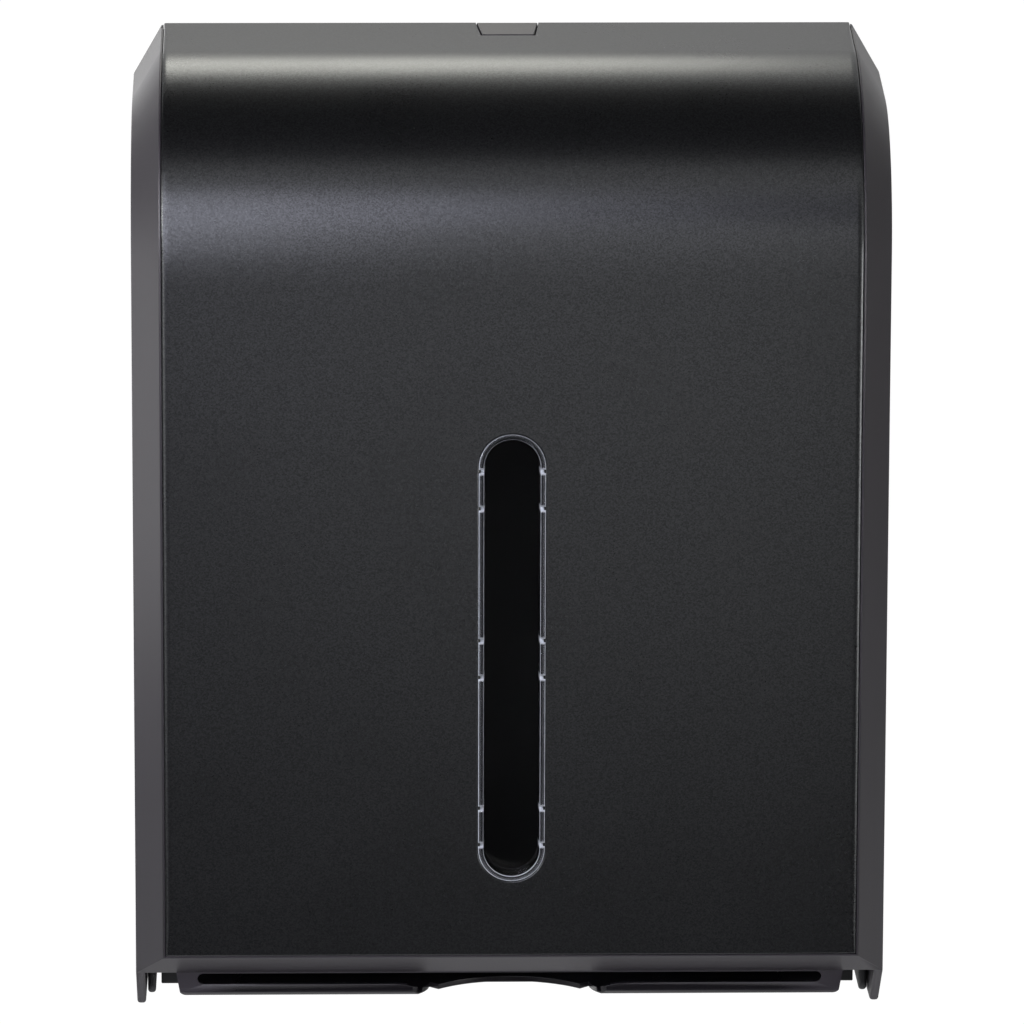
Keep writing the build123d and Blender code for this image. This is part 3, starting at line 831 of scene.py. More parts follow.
@dataclass
class FrontPanel:
    """The curved pearl-black skin: one sheet bent over the shoulder, with a window and a notch."""

    thickness: float = 0.0022
    shoulder_radius: float = 0.069
    top_fall: float = math.radians(6.0)
    ease_run: float = 0.012
    trace_step: float = 0.0005
    rim_radius: float = 0.0026
    rim_depth_share: float = 0.3
    rim_steps: int = 8
    rim_spacing: float = 0.008
    rear_rim_share: float = 0.045
    low_rim_share: float = 0.3
    rim_change_run: float = 0.022
    rear_corner_radius: float = 0.0008
    low_corner_radius: float = 0.0007
    corner_steps: int = 6
    notch_gap: float = 0.0002
    notch_front_half: float = 0.00965
    notch_corner_radius: float = 0.0001
    window_half_width: float = 0.0124
    window_gap: float = 0.00015
    window_rim_radius: float = 0.0005
    window_steps: int = 28
    seat_depth: float = 0.0008
    seat_width: float = 0.0008
    bend_steps: int = 64

    def __post_init__(self) -> None:
        """Reads the panel's place, and traces the sheet twice so that its front lands there."""
        low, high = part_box("front_panel")
        self.half_width = high.x
        self.low_z = low.z
        self.rear = Vector((-high.y, high.z))
        self.bend_run = self.shoulder_radius * (math.pi / 2 - self.top_fall)
        crest = -low.y - self.shoulder_radius * (1 - math.sin(self.top_fall))
        self.flat_run = (crest + high.y) / math.cos(self.top_fall)
        self.full_run = self.flat_run + self.bend_run + high.z - low.z
        self.flat_run -= (self.trace().x + low.y) / math.cos(self.top_fall)
        self.full_run += self.trace().y - low.z

    def slope(self, run: float) -> float:
        """How steeply the sheet falls: an arc that eases into the upright front.

        Args:
            run: Distance along the outer face from the rear edge.

        Returns:
            The angle below level.
        """
        past = run - self.flat_run
        left = self.bend_run + self.ease_run - past
        if left <= 0.0:
            return math.pi / 2
        if left < 2 * self.ease_run:
            return math.pi / 2 - left ** 2 / (4 * self.ease_run * self.shoulder_radius)
        return self.top_fall + max(past, 0.0) / self.shoulder_radius

    def trace(self) -> Vector:
        """Follows the outer face from the rear edge in short steps.

        Returns:
            How far out and how high the sheet ends.
        """
        self.places = [self.rear.copy()]
        for number in range(math.ceil(self.full_run / self.trace_step) + 1):
            angle = self.slope((number + 0.5) * self.trace_step)
            way = Vector((math.cos(angle), -math.sin(angle)))
            self.places.append(self.places[-1] + way * self.trace_step)
        end = self.bent(0.0, self.full_run, 0.0)
        return Vector((-end.y, end.z))

    def bent(self, x: float, run: float, depth: float) -> Vector:
        """Where a point of the flat sheet lies once the sheet is bent over the shoulder.

        Args:
            x: Place across.
            run: Distance along the outer face from the rear edge.
            depth: Distance below the outer face.

        Returns:
            The point in the part's frame.
        """
        steps = run / self.trace_step
        number = int(steps)
        place = self.places[number].lerp(self.places[number + 1], steps - number)
        angle = self.slope(run)
        out, height = place.x - depth * math.sin(angle), place.y - depth * math.cos(angle)
        return Vector((x, -out, height))

    def run_at(self, height: float) -> float:
        """Distance along the sheet of a height on the upright front."""
        return self.full_run + self.low_z - height

    def outline(self) -> Loop:
        """Draws the flat sheet's outline with the latch notch in its rear edge.

        Returns:
            The outline's points.
        """
        button_low, button_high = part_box("latch_button")
        notch_rear = button_high.x + self.notch_gap
        notch_front = self.notch_front_half + self.notch_gap
        notch_run = (-button_low.y + self.notch_gap - self.rear.x) / math.cos(self.top_fall)
        half = [
            (Vector((notch_front, notch_run)), self.notch_corner_radius),
            (Vector((notch_rear, 0)), self.notch_corner_radius),
            (Vector((self.half_width, 0)), self.rear_corner_radius),
            (Vector((self.half_width, self.full_run)), self.low_corner_radius),
        ]
        other = [(Vector((-corner.x, corner.y)), radius) for corner, radius in reversed(half)]
        corners = half[2:] + other + half[:2]
        return spaced(round_corners(corners, self.corner_steps), self.rim_spacing)

    def rim_share(self, point: Vector) -> float:
        """How much of the rim's rounding a place gets: less near the rear and low edges.

        Args:
            point: A point of the outline.

        Returns:
            The share of the full rounding.
        """
        rear = self.rear_rim_share + point.y / self.rim_change_run
        low = self.low_rim_share + (self.full_run - point.y) / self.rim_change_run
        return min(rear, low, 1.0)

    def build(self) -> None:
        """Makes the sheet flat, cuts it across where it bends, and bends it."""
        lens_low, lens_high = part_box("window_lens")
        half_height = (lens_high.z - lens_low.z) / 2 + self.window_gap
        middle = self.run_at((lens_high.z + lens_low.z) / 2)
        edge = self.outline()
        half_width = self.window_half_width + self.window_gap
        window = obround(half_width, half_height, middle, self.window_steps)
        bm = bmesh.new()
        shares = [self.rim_share(point) for point in edge]
        edge_rings = []
        for inset, depth in quarter_round(self.rim_radius, self.rim_steps):
            loop = offset_loop(edge, inset, shares)
            edge_rings.append(ring_of(bm, loop, depth * self.rim_depth_share))
        edge_rings.append(ring_of(bm, edge, self.thickness))
        window_rings = []
        for inset, depth in quarter_round(self.window_rim_radius, self.rim_steps):
            window_rings.append(ring_of(bm, offset_loop(window, -inset), depth))
        hole = offset_loop(window, self.seat_width)
        window_rings.append(ring_of(bm, window, self.seat_depth))
        window_rings.append(ring_of(bm, hole, self.seat_depth))
        window_rings.append(ring_of(bm, hole, self.thickness))
        bridge(bm, edge_rings)
        bridge(bm, window_rings)
        fill_between(bm, (edge_rings[0], window_rings[0]))
        fill_between(bm, (edge_rings[-1], window_rings[-1]))
        for step in range(self.bend_steps + 1):
            run = self.flat_run + (self.bend_run + self.ease_run) * step / self.bend_steps
            whole = bm.verts[:] + bm.edges[:] + bm.faces[:]
            bmesh.ops.bisect_plane(bm, geom=whole, plane_co=(0, run, 0), plane_no=(0, 1, 0))
        for vertex in bm.verts:
            vertex.co = self.bent(*vertex.co)
        panel = new_piece("pearl_panel", mesh_from(bm, "pearl_panel"))
        weigh_normals(panel)
        settle(panel, PearlBlack(), Body.COVER, ("front_panel",))


@dataclass
class WindowLens:
    """The clear round-ended tub in the panel, with slits beside its snap tabs."""

    half_width: float = 0.0124
    flange_width: float = 0.0008
    flange_thickness: float = 0.0008
    wall: float = 0.0012
    depth: float = 0.011
    floor: float = 0.0016
    outer_radius: float = 0.0004
    inner_radius: float = 0.0003
    floor_radius: float = 0.0005
    round_steps: int = 4
    # Glints are painted highlights, a pale colour on the rims; a negative value paints shade on
    # the wall.
    flange_glint: float = 0.3
    outer_glint: tuple[float, ...] = (0.1, 0.55, 0.9, 1.0, 0.5)
    inner_glint: tuple[float, ...] = (0.0, 0.4, 0.7, 0.4, 0.0)
    floor_glint: tuple[float, ...] = (0.0, 0.35, 0.6, 0.35, 0.0)
    painted_wall_shade: float = -1.0
    under_radius: float = 0.0002
    under_fade: float = 0.0012
    top_shine: float = 0.4
    low_shine: float = 1.7
    slit_spacing: float = 0.064
    slit_half_length: float = 0.0070
    slit_width: float = 0.0013
    slit_depth: float = 0.0022
    slit_lip: float = 0.0001
    # How far the painted highlight at each slit end reaches.
    slit_glint_reach: float = 0.0009
    end_steps: int = 40

    def stations(self) -> list[tuple[float, bool, float]]:
        """Places the slits along a straight side.

        Returns:
            Heights, each with whether it lies in a slit and how much painted highlight it gets.
        """
        edge = self.slit_width / 2
        lip = edge + self.slit_lip
        fade = edge + self.slit_glint_reach
        marks = [(-fade, False, 0.0), (-lip, False, 1.0), (-edge, True, 1.0)]
        marks += [(-place, cut, painted_glint) for place, cut, painted_glint in reversed(marks)]
        places = []
        for number in (-1, 0, 1):
            for end in (-1, 1):
                middle = number * self.slit_spacing + end * self.slit_half_length
                places += [(middle + place, cut, painted_glint) for place, cut, painted_glint in marks]
        return places

    def path(self, half_height: float) -> list[tuple[Vector, bool, float]]:
        """The lens's outline.

        Args:
            half_height: Half the lens's height.

        Returns:
            Its points, each with whether it lies in a slit and how much painted highlight it gets.
        """
        straight = half_height - self.half_width
        outline: list[tuple[Vector, bool, float]] = []
        for side, order in ((1, reversed(self.stations())), (-1, iter(self.stations()))):
            for station, cut, painted_glint in order:
                outline.append((Vector((side * self.half_width, station)), cut, painted_glint))
            start = 0.0 if side > 0 else math.pi
            for step in range(self.end_steps + 1):
                angle = start - math.pi * step / self.end_steps
                spoke = Vector((math.cos(angle), math.sin(angle))) * self.half_width
                outline.append((Vector((0, -side * straight)) + spoke, False, 0.0))
        return outline

    def shine(self, point: Vector, half_height: float) -> float:
        """How bright the painted highlights on the edges are: dimmer round the top end, brighter
        round the low one.

        Args:
            point: A point of the outline.
            half_height: Half the lens's height.

        Returns:
            The brightness, 1 on the straight sides.
        """
        past = max(abs(point.y) - half_height + self.half_width, 0.0) / self.half_width
        end_shine = self.top_shine if point.y > 0.0 else self.low_shine
        return 1.0 + (end_shine - 1.0) * past

    def profile(self) -> list[tuple[float, float, float]]:
        """Draws the tub's section from the outer floor, round the rim, to the inner floor.

        Returns:
            Inset, depth and glint of each point: the share of painted highlight, or painted shade
                where it is negative.
        """
        inner = self.flange_width + self.wall
        under = self.depth - self.floor
        line = [
            (self.flange_width + self.under_fade, self.depth, 0.0),
            (self.flange_width + self.under_radius, self.depth, self.painted_wall_shade),
            (self.flange_width, self.depth - self.under_radius, self.painted_wall_shade),
            (self.flange_width, self.flange_thickness, self.painted_wall_shade),
            (0.0, self.flange_thickness, self.flange_glint),
        ]
        outer = quarter_round(self.outer_radius, self.round_steps)
        for (inset, depth), glint in zip(reversed(outer), reversed(self.outer_glint)):
            line.append((inset, depth, glint))
        rim = quarter_round(self.inner_radius, self.round_steps)
        for (inset, depth), glint in zip(rim, self.inner_glint):
            line.append((inner - inset, depth, glint))
        corner = quarter_round(self.floor_radius, self.round_steps)
        for (inset, depth), glint in zip(reversed(corner), self.floor_glint):
            line.append((inner + self.floor_radius - inset, under - depth, glint))
        return line

    def build(self) -> None:
        """Sweeps the profile round the outline and closes both floors."""
        low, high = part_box("window_lens")
        middle = (low.z + high.z) / 2
        half_height = (high.z - low.z) / 2
        path = self.path(half_height)
        outline = [point for point, cut, painted_glint in path]
        shines = [self.shine(point, half_height) for point in outline]
        bm = bmesh.new()
        bright = bm.verts.layers.float.new(ClearLens.edge_name)
        rings = []
        for inset, depth, glint in self.profile():
            ring = []
            loop = offset_loop(outline, -inset)
            for point, (_, cut, painted_glint), shine in zip(loop, path, shines):
                sunk = max(depth, self.slit_depth) if cut else depth
                vertex = bm.verts.new((point.x, low.y + sunk, middle + point.y))
                # Painted highlight: these values give the rims and slit ends a pale colour, and
                # the wall painted shade.
                edge = glint * shine if glint > 0.0 else glint
                vertex[bright] = max(edge, painted_glint) if depth < self.slit_depth else edge
                ring.append(vertex)
            rings.append(ring)
        bridge(bm, rings)
        for ring in (rings[0], rings[-1]):
            bm.faces.new(ring)
        lens = new_piece("clear_window", mesh_from(bm, "clear_window"))
        weigh_normals(lens)
        settle(lens, ClearLens(), Body.COVER, ("window_lens",))


@dataclass
class SoftenedPart:
    """A piece taken from its node, with the sharp edges that have room rounded."""

    node: str
    name: str
    body: Body
    finish: Finish
    edge_radius: float = 0.0004
    edge_steps: int = 3
    sharp_angle: float = math.radians(28.0)
    flat_angle: float = math.radians(0.2)
    room: float = 2.4
    foot_radius: float = 0.0
    foot_steps: int = 4
    foot_half: float = 0.0
    foot_top: float = 0.0
    foot_angle: float = math.radians(60.0)
    pivot: tuple[float, float] = (-0.017, -0.1685)
    pivot_reach: float = 0.0095

    def is_foot(self, edge: bmesh.types.BMEdge) -> bool:
        """Whether an edge bounds a free foot: low, far out, sharp and clear of the hinge.

        Args:
            edge: An edge of the piece.

        Returns:
            True for a foot's edge.
        """
        if not edge.is_manifold or edge.calc_face_angle() < self.foot_angle:
            return False
        first, last = (end.co for end in edge.verts)
        middle = (first + last) / 2
        clear = (middle.yz - Vector(self.pivot)).length > self.pivot_reach
        low = min(first.z, last.z) < self.foot_top
        outside = min(abs(first.x), abs(last.x)) > self.foot_half
        along = abs(first.x - last.x) < MERGE_DISTANCE
        return clear and low and outside and along

    def has_room(self, edge: bmesh.types.BMEdge) -> bool:
        """Whether a sharp edge and all the edges at its ends are long enough to be rounded.

        Args:
            edge: An edge of the piece.

        Returns:
            True if it has room.
        """
        if not edge.is_manifold or edge.calc_face_angle() < self.sharp_angle:
            return False
        shortest = self.room * self.edge_radius
        links = [link for end in edge.verts for link in end.link_edges]
        return all(link.calc_length() > shortest for link in links)

    def build(self) -> None:
        """Merges a copy of the node's triangles into flats and rounds its edges."""
        bm = merged_copy(self.node)
        bmesh.ops.dissolve_limit(
            bm, angle_limit=self.flat_angle, verts=bm.verts, edges=bm.edges,
        )
        if self.foot_radius:
            feet = [edge for edge in bm.edges if self.is_foot(edge)]
            bmesh.ops.bevel(
                bm, geom=feet, offset=self.foot_radius, segments=self.foot_steps, profile=0.5,
                affect="EDGES", clamp_overlap=False,
            )
        weights = bm.edges.layers.float.new("bevel_weight_edge")
        for edge in bm.edges:
            edge[weights] = float(self.has_room(edge))
        piece = new_piece(self.name, mesh_from(bm, self.name))
        bevel = piece.modifiers.new("rounded_edges", "BEVEL")
        bevel.width = self.edge_radius
        bevel.segments = self.edge_steps
        bevel.limit_method = "WEIGHT"
        bevel.use_clamp_overlap = True
        weigh_normals(piece)
        settle(piece, self.finish, self.body, (self.node,))


@dataclass
class Repeated:
    """Equal shapes set at the places of a node's solids and turned one way."""

    node: str
    name: str
    body: Body
    finish: Finish
    facing: Place
    radius: float
    height: float
    sides: int = 32
    smooth_angle: float = math.radians(35.0)
    turn_seed: int = 7
    replaced: bool = True

    def __post_init__(self) -> None:
        """Finds the middle and the ends of each of the node's solids along the facing way."""
        self.way = Vector(self.facing).normalized()
        self.tops: list[Vector] = []
        bm = merged_copy(self.node)
        for points in islands(bm):
            reach = [point.dot(self.way) for point in points]
            low, high = (Vector(map(pick, *points)) for pick in (min, max))
            middle = (low + high) / 2
            self.span = max(reach) - min(reach)
            self.tops.append(middle + self.way * (max(reach) - middle.dot(self.way)))
        bm.free()

    def sizes(self) -> dict[str, float]:
        """The named sizes that the tree asks for."""
        return {"Radius": self.radius, "Height": self.height}

    def seats(self) -> list[Vector]:
        """Where the shapes stand."""
        return [top - self.way * self.height for top in self.tops]

    def shape(self, sheet: GeometrySheet) -> Wire:
        """One shape, standing on its seat along Z."""
        raise NotImplementedError

    def tree(self) -> GeometrySheet:
        """Draws the tree that sets the shape at each seat, turned by chance about its axis.

        Returns:
            The tree's sheet.
        """
        asks = {"Seats": "NodeSocketGeometry"} | {name: "NodeSocketFloat" for name in self.sizes()}
        asks |= {"Facing": "NodeSocketVector", "Seed": "NodeSocketInt"}
        asks["Finish"] = "NodeSocketMaterial"
        sheet = GeometrySheet(self.name, asks)
        placed = sheet.node("GeometryNodeInstanceOnPoints", {}, {
            "Points": sheet.asked("Seats"),
            "Instance": self.shape(sheet),
            "Rotation": sheet.asked("Facing"),
        })
        turn = sheet.node("FunctionNodeRandomValue", {"data_type": "FLOAT_VECTOR"}, {
            0: (0.0, 0.0, 0.0), 1: (0.0, 0.0, math.tau), "Seed": sheet.asked("Seed"),
        })
        turned = sheet.node("GeometryNodeRotateInstances", {}, {
            "Instances": placed, "Rotation": turn,
        })
        solid = sheet.node("GeometryNodeRealizeInstances", {}, {"Geometry": turned})
        sheet.give(sheet.node("GeometryNodeSetMaterial", {}, {
            "Geometry": solid, "Material": sheet.asked("Finish"),
        }))
        return sheet

    def build(self) -> None:
        """Evaluates the tree on the seats and keeps the result as a plain mesh."""
        points = bpy.data.meshes.new(self.name)
        points.from_pydata(self.seats(), [], [])
        piece = new_piece(self.name, points)
        sheet = self.tree()
        values = self.sizes() | {"Seed": self.turn_seed, "Finish": self.finish.material()}
        values["Facing"] = tuple(self.way.to_track_quat("Z", "Y").to_euler())
        modifier = piece.modifiers.new("repeat", "NODES")
        modifier.node_group = sheet.tree
        for name, value in values.items():
            modifier[sheet.identifiers[name]] = value
        view = bpy.context.evaluated_depsgraph_get()
        mesh = bpy.data.meshes.new_from_object(piece.evaluated_get(view))
        piece.modifiers.clear()
        piece.data = mesh
        mesh.shade_smooth()
        mesh.set_sharp_from_angle(angle=self.smooth_angle)
        settle(piece, self.finish, self.body, (self.node,) if self.replaced else ())


@dataclass
class CrossScrews(Repeated):
    """Domed screws with a cross recess."""

    shank_radius: float = 0.0015
    dome_share: float = 1.06
    recess_length: float = 1.15
    recess_width: float = 0.28
    recess_floor: float = 0.4

    def sizes(self) -> dict[str, float]:
        """Adds the shank to the head's sizes."""
        shank = {"Shank Radius": self.shank_radius, "Shank Length": self.span - self.height}
        return super().sizes() | shank

    def shape(self, sheet: GeometrySheet) -> Wire:
        """A domed head cut by a cross, on its shank.

        Args:
            sheet: The tree that it is drawn in.

        Returns:
            The screw.
        """
        radius, height = sheet.asked("Radius"), sheet.asked("Height")
        wide = radius * self.dome_share
        ball_radius = (wide * wide + height * height) / (height * 2.0)
        ball = sheet.node("GeometryNodeMeshUVSphere", {}, {
            "Segments": self.sides, "Rings": self.sides, "Radius": ball_radius,
        })
        head = sheet.cut("INTERSECT", sheet.moved(ball, height - ball_radius),
                         sheet.cylinder(radius, height * 2.0, self.sides))
        arms = []
        for long_axis, short_axis in (("X", "Y"), ("Y", "X")):
            size = sheet.node("ShaderNodeCombineXYZ", {}, {
                long_axis: radius * self.recess_length,
                short_axis: radius * self.recess_width,
                "Z": height,
            })
            arm = sheet.node("GeometryNodeMeshCube", {}, {"Size": size})
            arms.append(sheet.moved(arm, height * (self.recess_floor + 0.5)))
        recessed = sheet.cut("DIFFERENCE", head, *arms)
        length = sheet.asked("Shank Length")
        shank = sheet.cylinder(sheet.asked("Shank Radius"), length, self.sides)
        shank = sheet.moved(shank, 0.0 - length)
        return sheet.node("GeometryNodeJoinGeometry", {}, {"Geometry": [recessed, shank]})


@dataclass
class PanelBosses(Repeated):
    """Short moulded bosses on the panel's back that the panel screws bite into."""

    bore_radius: float = 0.0012
    floor_share: float = 0.3
    back_y: float = -0.0998
    replaced: bool = False

    def sizes(self) -> dict[str, float]:
        """Adds the bore to the boss's sizes."""
        return super().sizes() | {"Bore Radius": self.bore_radius}

    def seats(self) -> list[Vector]:
        """Places on the panel's back in line with the screws."""
        return [Vector((top.x, self.back_y, top.z)) for top in self.tops]

    def shape(self, sheet: GeometrySheet) -> Wire:
        """A boss with a blind bore.

        Args:
            sheet: The tree that it is drawn in.

        Returns:
            The boss.
        """
        height = sheet.asked("Height")
        body = sheet.cylinder(sheet.asked("Radius"), height, self.sides)
        bore = sheet.cylinder(sheet.asked("Bore Radius"), height, self.sides)
        bore = sheet.moved(bore, height * self.floor_share)
        return sheet.cut("DIFFERENCE", body, bore)


Piece = FrontPanel | WindowLens | SoftenedPart | Repeated


# Studio


@dataclass(frozen=True)
class SoftBox:
    """A soft lamp that the camera does not see."""

    name: str
    place: Place
    aim: Place
    size: tuple[float, float]
    radiance: float
    tint: tuple[float, float, float] = (1.0, 1.0, 1.0)

    def build(self) -> None:
        """Adds the lamp, its power worked out from its brightness and its area."""
        data = bpy.data.lights.new(self.name, "AREA")
        data.shape = "RECTANGLE"
        data.size, data.size_y = self.size
        data.energy = self.radiance * math.pi * self.size[0] * self.size[1]
        data.color = self.tint
        lamp = bpy.data.objects.new(self.name, data)
        turn = (Vector(self.aim) - Vector(self.place)).to_track_quat("-Z", "Y")
        lamp.matrix_world = Matrix.Translation(self.place) @ turn.to_matrix().to_4x4()
        lamp.visible_camera = False
        bpy.context.scene.collection.objects.link(lamp)


@dataclass(frozen=True)
class Card:
    """A card out of the picture that reflections see, brighter at one end than at the other."""

    name: str
    place: Place
    aim: Place
    size: tuple[float, float]
    low_level: float
    high_level: float
    shades: bool = False
    seen_through: bool = False

    def build(self) -> None:
        """Adds the card."""
        spot = Vector(self.place)
        turn = (Vector(self.aim) - spot).to_track_quat("Z", "Y").to_matrix().to_4x4()
        where = Matrix.Translation(spot) @ turn
        corners = [where @ corner for corner in sheet_corners(*self.size)]
        card = flat_sheet(self.name, corners)
        material = bpy.data.materials.new(self.name)
        material.use_nodes = True
        sheet = ShaderSheet(material.node_tree)
        heights = [corner.z for corner in corners]
        share = sheet.ramp(sheet.axis(sheet.object_point(), "Z"), min(heights), max(heights))
        colour = sheet.blend(share, grey(self.low_level), grey(self.high_level))
        sheet.finish(sheet.node("ShaderNodeEmission", {}, {"Color": colour, "Strength": 1.0}))
        material.cycles.emission_sampling = "NONE"
        card.data.materials.append(material)
        card.visible_camera = False
        card.visible_diffuse = self.shades
        card.visible_transmission = self.seen_through
        card.visible_shadow = False
        card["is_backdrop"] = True


def sheet_corners(wide: float, high: float) -> Loop:
    """The corners of a level sheet about the origin."""
    signs = ((-1, -1), (1, -1), (1, 1), (-1, 1))
    return [Vector((x * wide / 2, y * high / 2, 0)) for x, y in signs]


def flat_sheet(name: str, corners: Iterable[Vector]) -> bpy.types.Object:
    """Makes one flat face.

    Args:
        name: The sheet's name.
        corners: Its corners in order.

    Returns:
        The sheet.
    """
    bm = bmesh.new()
    bm.faces.new([bm.verts.new(corner) for corner in corners])
    mesh = bpy.data.meshes.new(name)
    bm.to_mesh(mesh)
    bm.free()
    return new_piece(name, mesh)


@dataclass
class Studio:
    """Pale floor, white surroundings, soft lamps, cards and the camera."""

    floor_drop: float = 0.35
    floor_width: float = 18.0
    floor_shades: tuple[float, float] = (0.78, 0.82)
    floor_grain: float = 0.02
    floor_glow: float = 1.08
    floor_white_share: float = 0.92
    surround_level: float = 1.0
    fill_level: float = 0.30
    view_azimuth: float = math.radians(-1.453)
    view_elevation: float = math.radians(12.961)
    view_roll: float = math.radians(0.166)
    view_distance: float = 3.2
    view_centre: Place = (0.00117, -0.05, 0.00618)
    sensor: float = 36.0
    focal_length: float = 300.66
    soft_boxes: tuple[SoftBox, ...] = (
        SoftBox("rear_soft_box", (-0.10, 0.90, 1.21), (-0.04, -0.04, 0.17), (0.52, 0.46), 6.8,
                tint=(1.0, 0.99, 0.90)),
        SoftBox("front_soft_box", (-0.42, -1.05, 0.40), (-0.05, -0.10, 0.14), (0.90, 0.72), 5.8,
                tint=(0.90, 0.90, 1.04)),
        SoftBox("under_bounce", (0.0, -0.12, -0.5), (0.0, -0.09, -0.16), (1.2, 0.4), 0.3),
    )
    cards: tuple[Card, ...] = (
        Card("overhead_card", (0.0, -0.22, 1.2), (0.0, -0.05, 0.1), (4.0, 1.25), 0.0, 0.0),
        Card("rear_card", (0.0, 1.7, 0.87), (0.0, 0.0, 0.1), (3.0, 0.55), 0.60, 0.60),
        Card("rear_left_card", (-0.95, 1.5, 0.05), (0.0, 0.0, 0.05), (1.25, 1.1), 2.0, 2.0),
        Card("right_card", (1.15, 0.45, -0.1), (0.0, -0.05, 0.1), (1.3, 1.6), 0.36, 0.20),
        Card("left_card", (-0.75, 0.38, -0.24), (0.0, -0.05, -0.24), (0.8, 0.57), 1.9, 1.42),
        Card("left_high_card", (-0.95, 0.5, 0.33), (0.0, -0.05, 0.15), (0.9, 0.66), 0.4, 0.4),
        Card("left_strip", (-1.10, -0.56, 0.35), (-0.13, -0.1, 0.12), (0.7, 0.34), 16.0, 16.0),
        Card("left_rim_card", (-0.705, -0.79, -0.155), (-0.126, -0.1, -0.155), (0.4, 0.41),
             0.6, 4.4),
        Card("right_rim_card", (0.815, -0.68, -0.155), (0.126, -0.1, -0.155), (0.4, 0.41),
             0.2, 19.0),
        Card("front_left_card", (-0.065, -1.2, 0.03), (-0.065, 0.0, 0.03), (0.12, 0.74), 1.05, 1.7,
             seen_through=True),
        Card("front_right_card", (0.155, -1.2, 0.03), (0.155, 0.0, 0.03), (0.19, 0.74), 1.2, 1.9,
             seen_through=True),
        Card("front_dark_card", (0.03, -1.4, 0.2), (0.03, 0.0, 0.2), (1.8, 1.4), 0.03, 0.03,
             seen_through=True),
        Card("front_cloth", (0.0, -1.95, -0.5), (0.0, -1.95, 1.0), (3.0, 2.9), 0.0, 0.0,
             shades=True, seen_through=True),
    )

    def camera(self) -> None:
        """Sets the camera at the picture's viewing angle."""
        data = bpy.data.cameras.new("view")
        data.sensor_width = self.sensor
        data.lens = self.focal_length
        eye = bpy.data.objects.new("view", data)
        turn = Matrix.Rotation(self.view_azimuth, 4, "Z")
        turn @= Matrix.Rotation(math.pi / 2 - self.view_elevation, 4, "X")
        turn @= Matrix.Rotation(self.view_roll, 4, "Z")
        back = Matrix.Translation((0, 0, self.view_distance))
        eye.matrix_world = Matrix.Translation(self.view_centre) @ turn @ back
        bpy.context.scene.collection.objects.link(eye)
        bpy.context.scene.camera = eye

    def world(self) -> None:
        """Sets white surroundings for sight and reflections, and a plain fill for shading."""
        world = bpy.data.worlds.new("white_surroundings")
        bpy.context.scene.world = world
        world.use_nodes = True
        sheet = ShaderSheet(world.node_tree)
        path = "ShaderNodeLightPath"
        camera = sheet.node(path, output="Is Camera Ray")
        glossy = sheet.node(path, output="Is Glossy Ray")
        through = sheet.node(path, output="Is Transmission Ray")
        seen = (camera + glossy + through) > 0.5
        level = seen * (self.surround_level - self.fill_level) + self.fill_level
        light = sheet.node("ShaderNodeBackground", {}, {"Color": grey(1.0), "Strength": level})
        sheet.node("ShaderNodeOutputWorld", {}, {"Surface": light})

    def floor(self) -> None:
        """Lays a pale floor well below the part, white to the camera."""
        drop = Vector((0, 0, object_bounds()[0].z - self.floor_drop))
        corners = [corner + drop for corner in sheet_corners(self.floor_width, self.floor_width)]
        floor = flat_sheet("pale_floor", corners)
        material = bpy.data.materials.new("pale_floor")
        material.use_nodes = True
        sheet = ShaderSheet(material.node_tree)
        camera = sheet.node("ShaderNodeLightPath", output="Is Camera Ray")
        speck = sheet.noise(sheet.object_point(), self.floor_grain, detail=3.0)
        colour = sheet.blend(speck, *map(grey, self.floor_shades))
        matt = sheet.node("ShaderNodeBsdfDiffuse", {}, {"Color": colour})
        white = {"Color": grey(1.0), "Strength": self.floor_glow}
        glow = sheet.node("ShaderNodeEmission", {}, white)
        sheet.finish(sheet.mixed(camera * self.floor_white_share, matt, glow))
        floor.data.materials.append(material)
        floor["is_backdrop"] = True

    def build(self) -> None:
        """Sets the stage, the light and the camera."""
        self.world()
        self.floor()
        for prop in self.soft_boxes + self.cards:
            prop.build()
        self.camera()
        bpy.context.scene.view_settings.view_transform = "Standard"


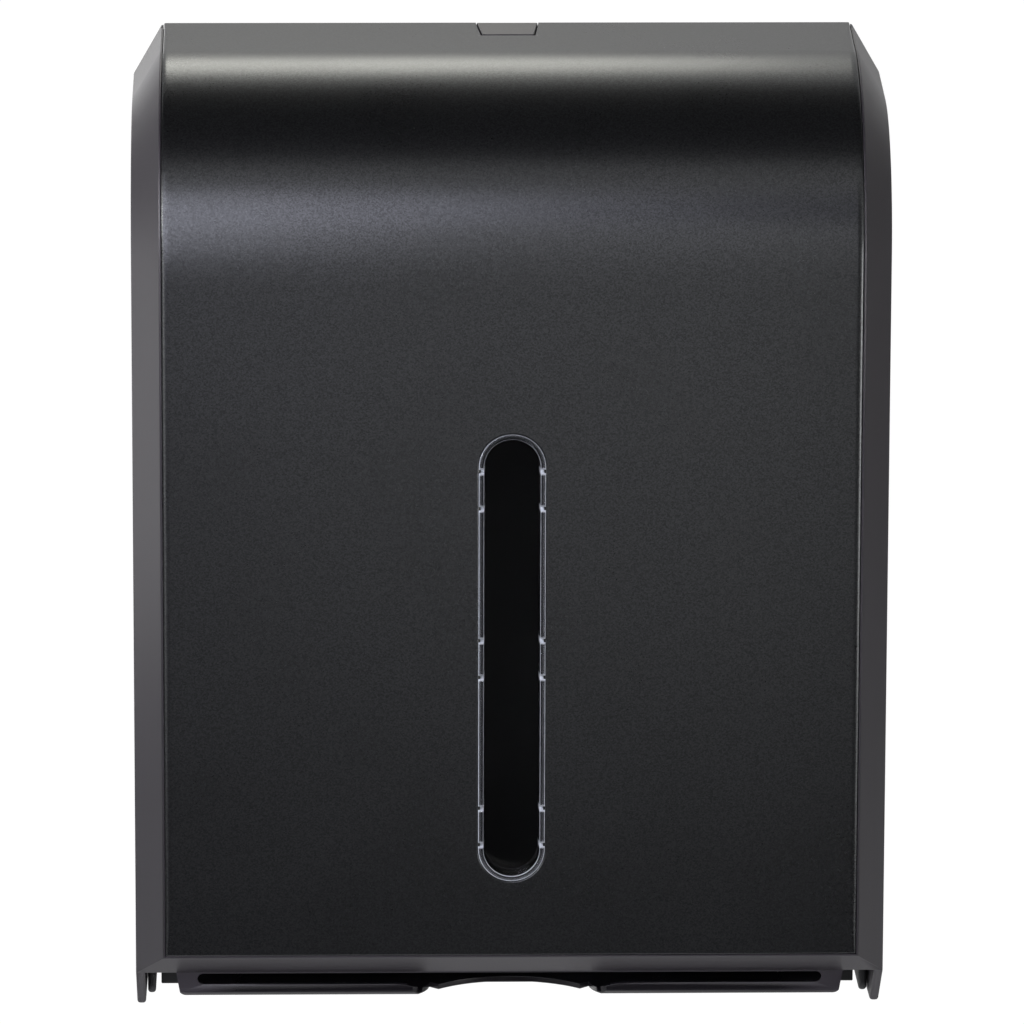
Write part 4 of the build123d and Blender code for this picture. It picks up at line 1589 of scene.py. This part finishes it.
@dataclass
class Dispenser:
    """The dispenser's pieces in building order."""

    keeper_tilt: float = math.radians(6.0)
    spring_node: str = "catch_spring"

    def pieces(self) -> list[Piece]:
        """Lists the pieces of the cover, the housing, the latch and the fixings.

        Returns:
            The pieces, not yet built.
        """
        satin, black, zinc, pearl = SatinCharcoal(), MouldedBlack(), ZincSteel(), PearlBlack()
        cover, housing, button = Body.COVER, Body.HOUSING, Body.BUTTON
        front, back = (0.0, -1.0, 0.0), (0.0, 1.0, 0.0)
        under = (0.0, math.sin(self.keeper_tilt), -math.cos(self.keeper_tilt))
        pieces: list[Piece] = [
            FrontPanel(),
            WindowLens(),
            SoftenedPart("cover_frame", "charcoal_frame", cover, satin, edge_radius=0.0003,
                         foot_radius=0.0011, foot_half=0.1365, foot_top=-0.166),
            SoftenedPart("latch_button", "charcoal_button", button, satin),
            SoftenedPart("rear_housing", "black_housing", housing, black,
                         foot_radius=0.0012, foot_half=0.1325, foot_top=-0.1735),
            SoftenedPart("towel_tray", "black_tray", housing, black),
            SoftenedPart("latch_bracket", "black_bracket", housing, black),
            SoftenedPart("latch_keeper", "zinc_keeper", cover, zinc, edge_radius=0.0003),
            SoftenedPart("hinge_pin_left", "zinc_pin_left", housing, zinc),
            SoftenedPart("hinge_pin_right", "zinc_pin_right", housing, zinc),
            PanelBosses("panel_screws", "panel_bosses", cover, pearl, back,
                        radius=0.0026, height=0.0024),
            CrossScrews("panel_screws", "cross_panel_screws", cover, zinc, back,
                        radius=0.0036, height=0.0018, shank_radius=0.0012),
        ]
        for node, body, facing in (
            ("keeper_screws", cover, under), ("tray_screws", housing, front),
            ("bracket_screws", housing, front), ("spring_screw", housing, front),
        ):
            pieces.append(CrossScrews(node, f"cross_{node}", body, zinc, facing,
                                      radius=0.0030, height=0.0018))
        return pieces

    def build(self) -> None:
        """Builds every piece, and dresses the spring, which keeps its node's mesh."""
        for piece in self.pieces():
            piece.build()
        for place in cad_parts[self.spring_node].material_slots:
            place.material = BlueSpringSteel().material()
        LOG.info("%s keeps its node", self.spring_node)


def main() -> None:
    """Builds and dresses the dispenser and sets the studio, logging each piece's face count."""
    logging.basicConfig(level=logging.INFO, format="%(message)s")
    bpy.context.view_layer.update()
    Dispenser().build()
    Studio().build()


if __name__ == "__main__":
    main()
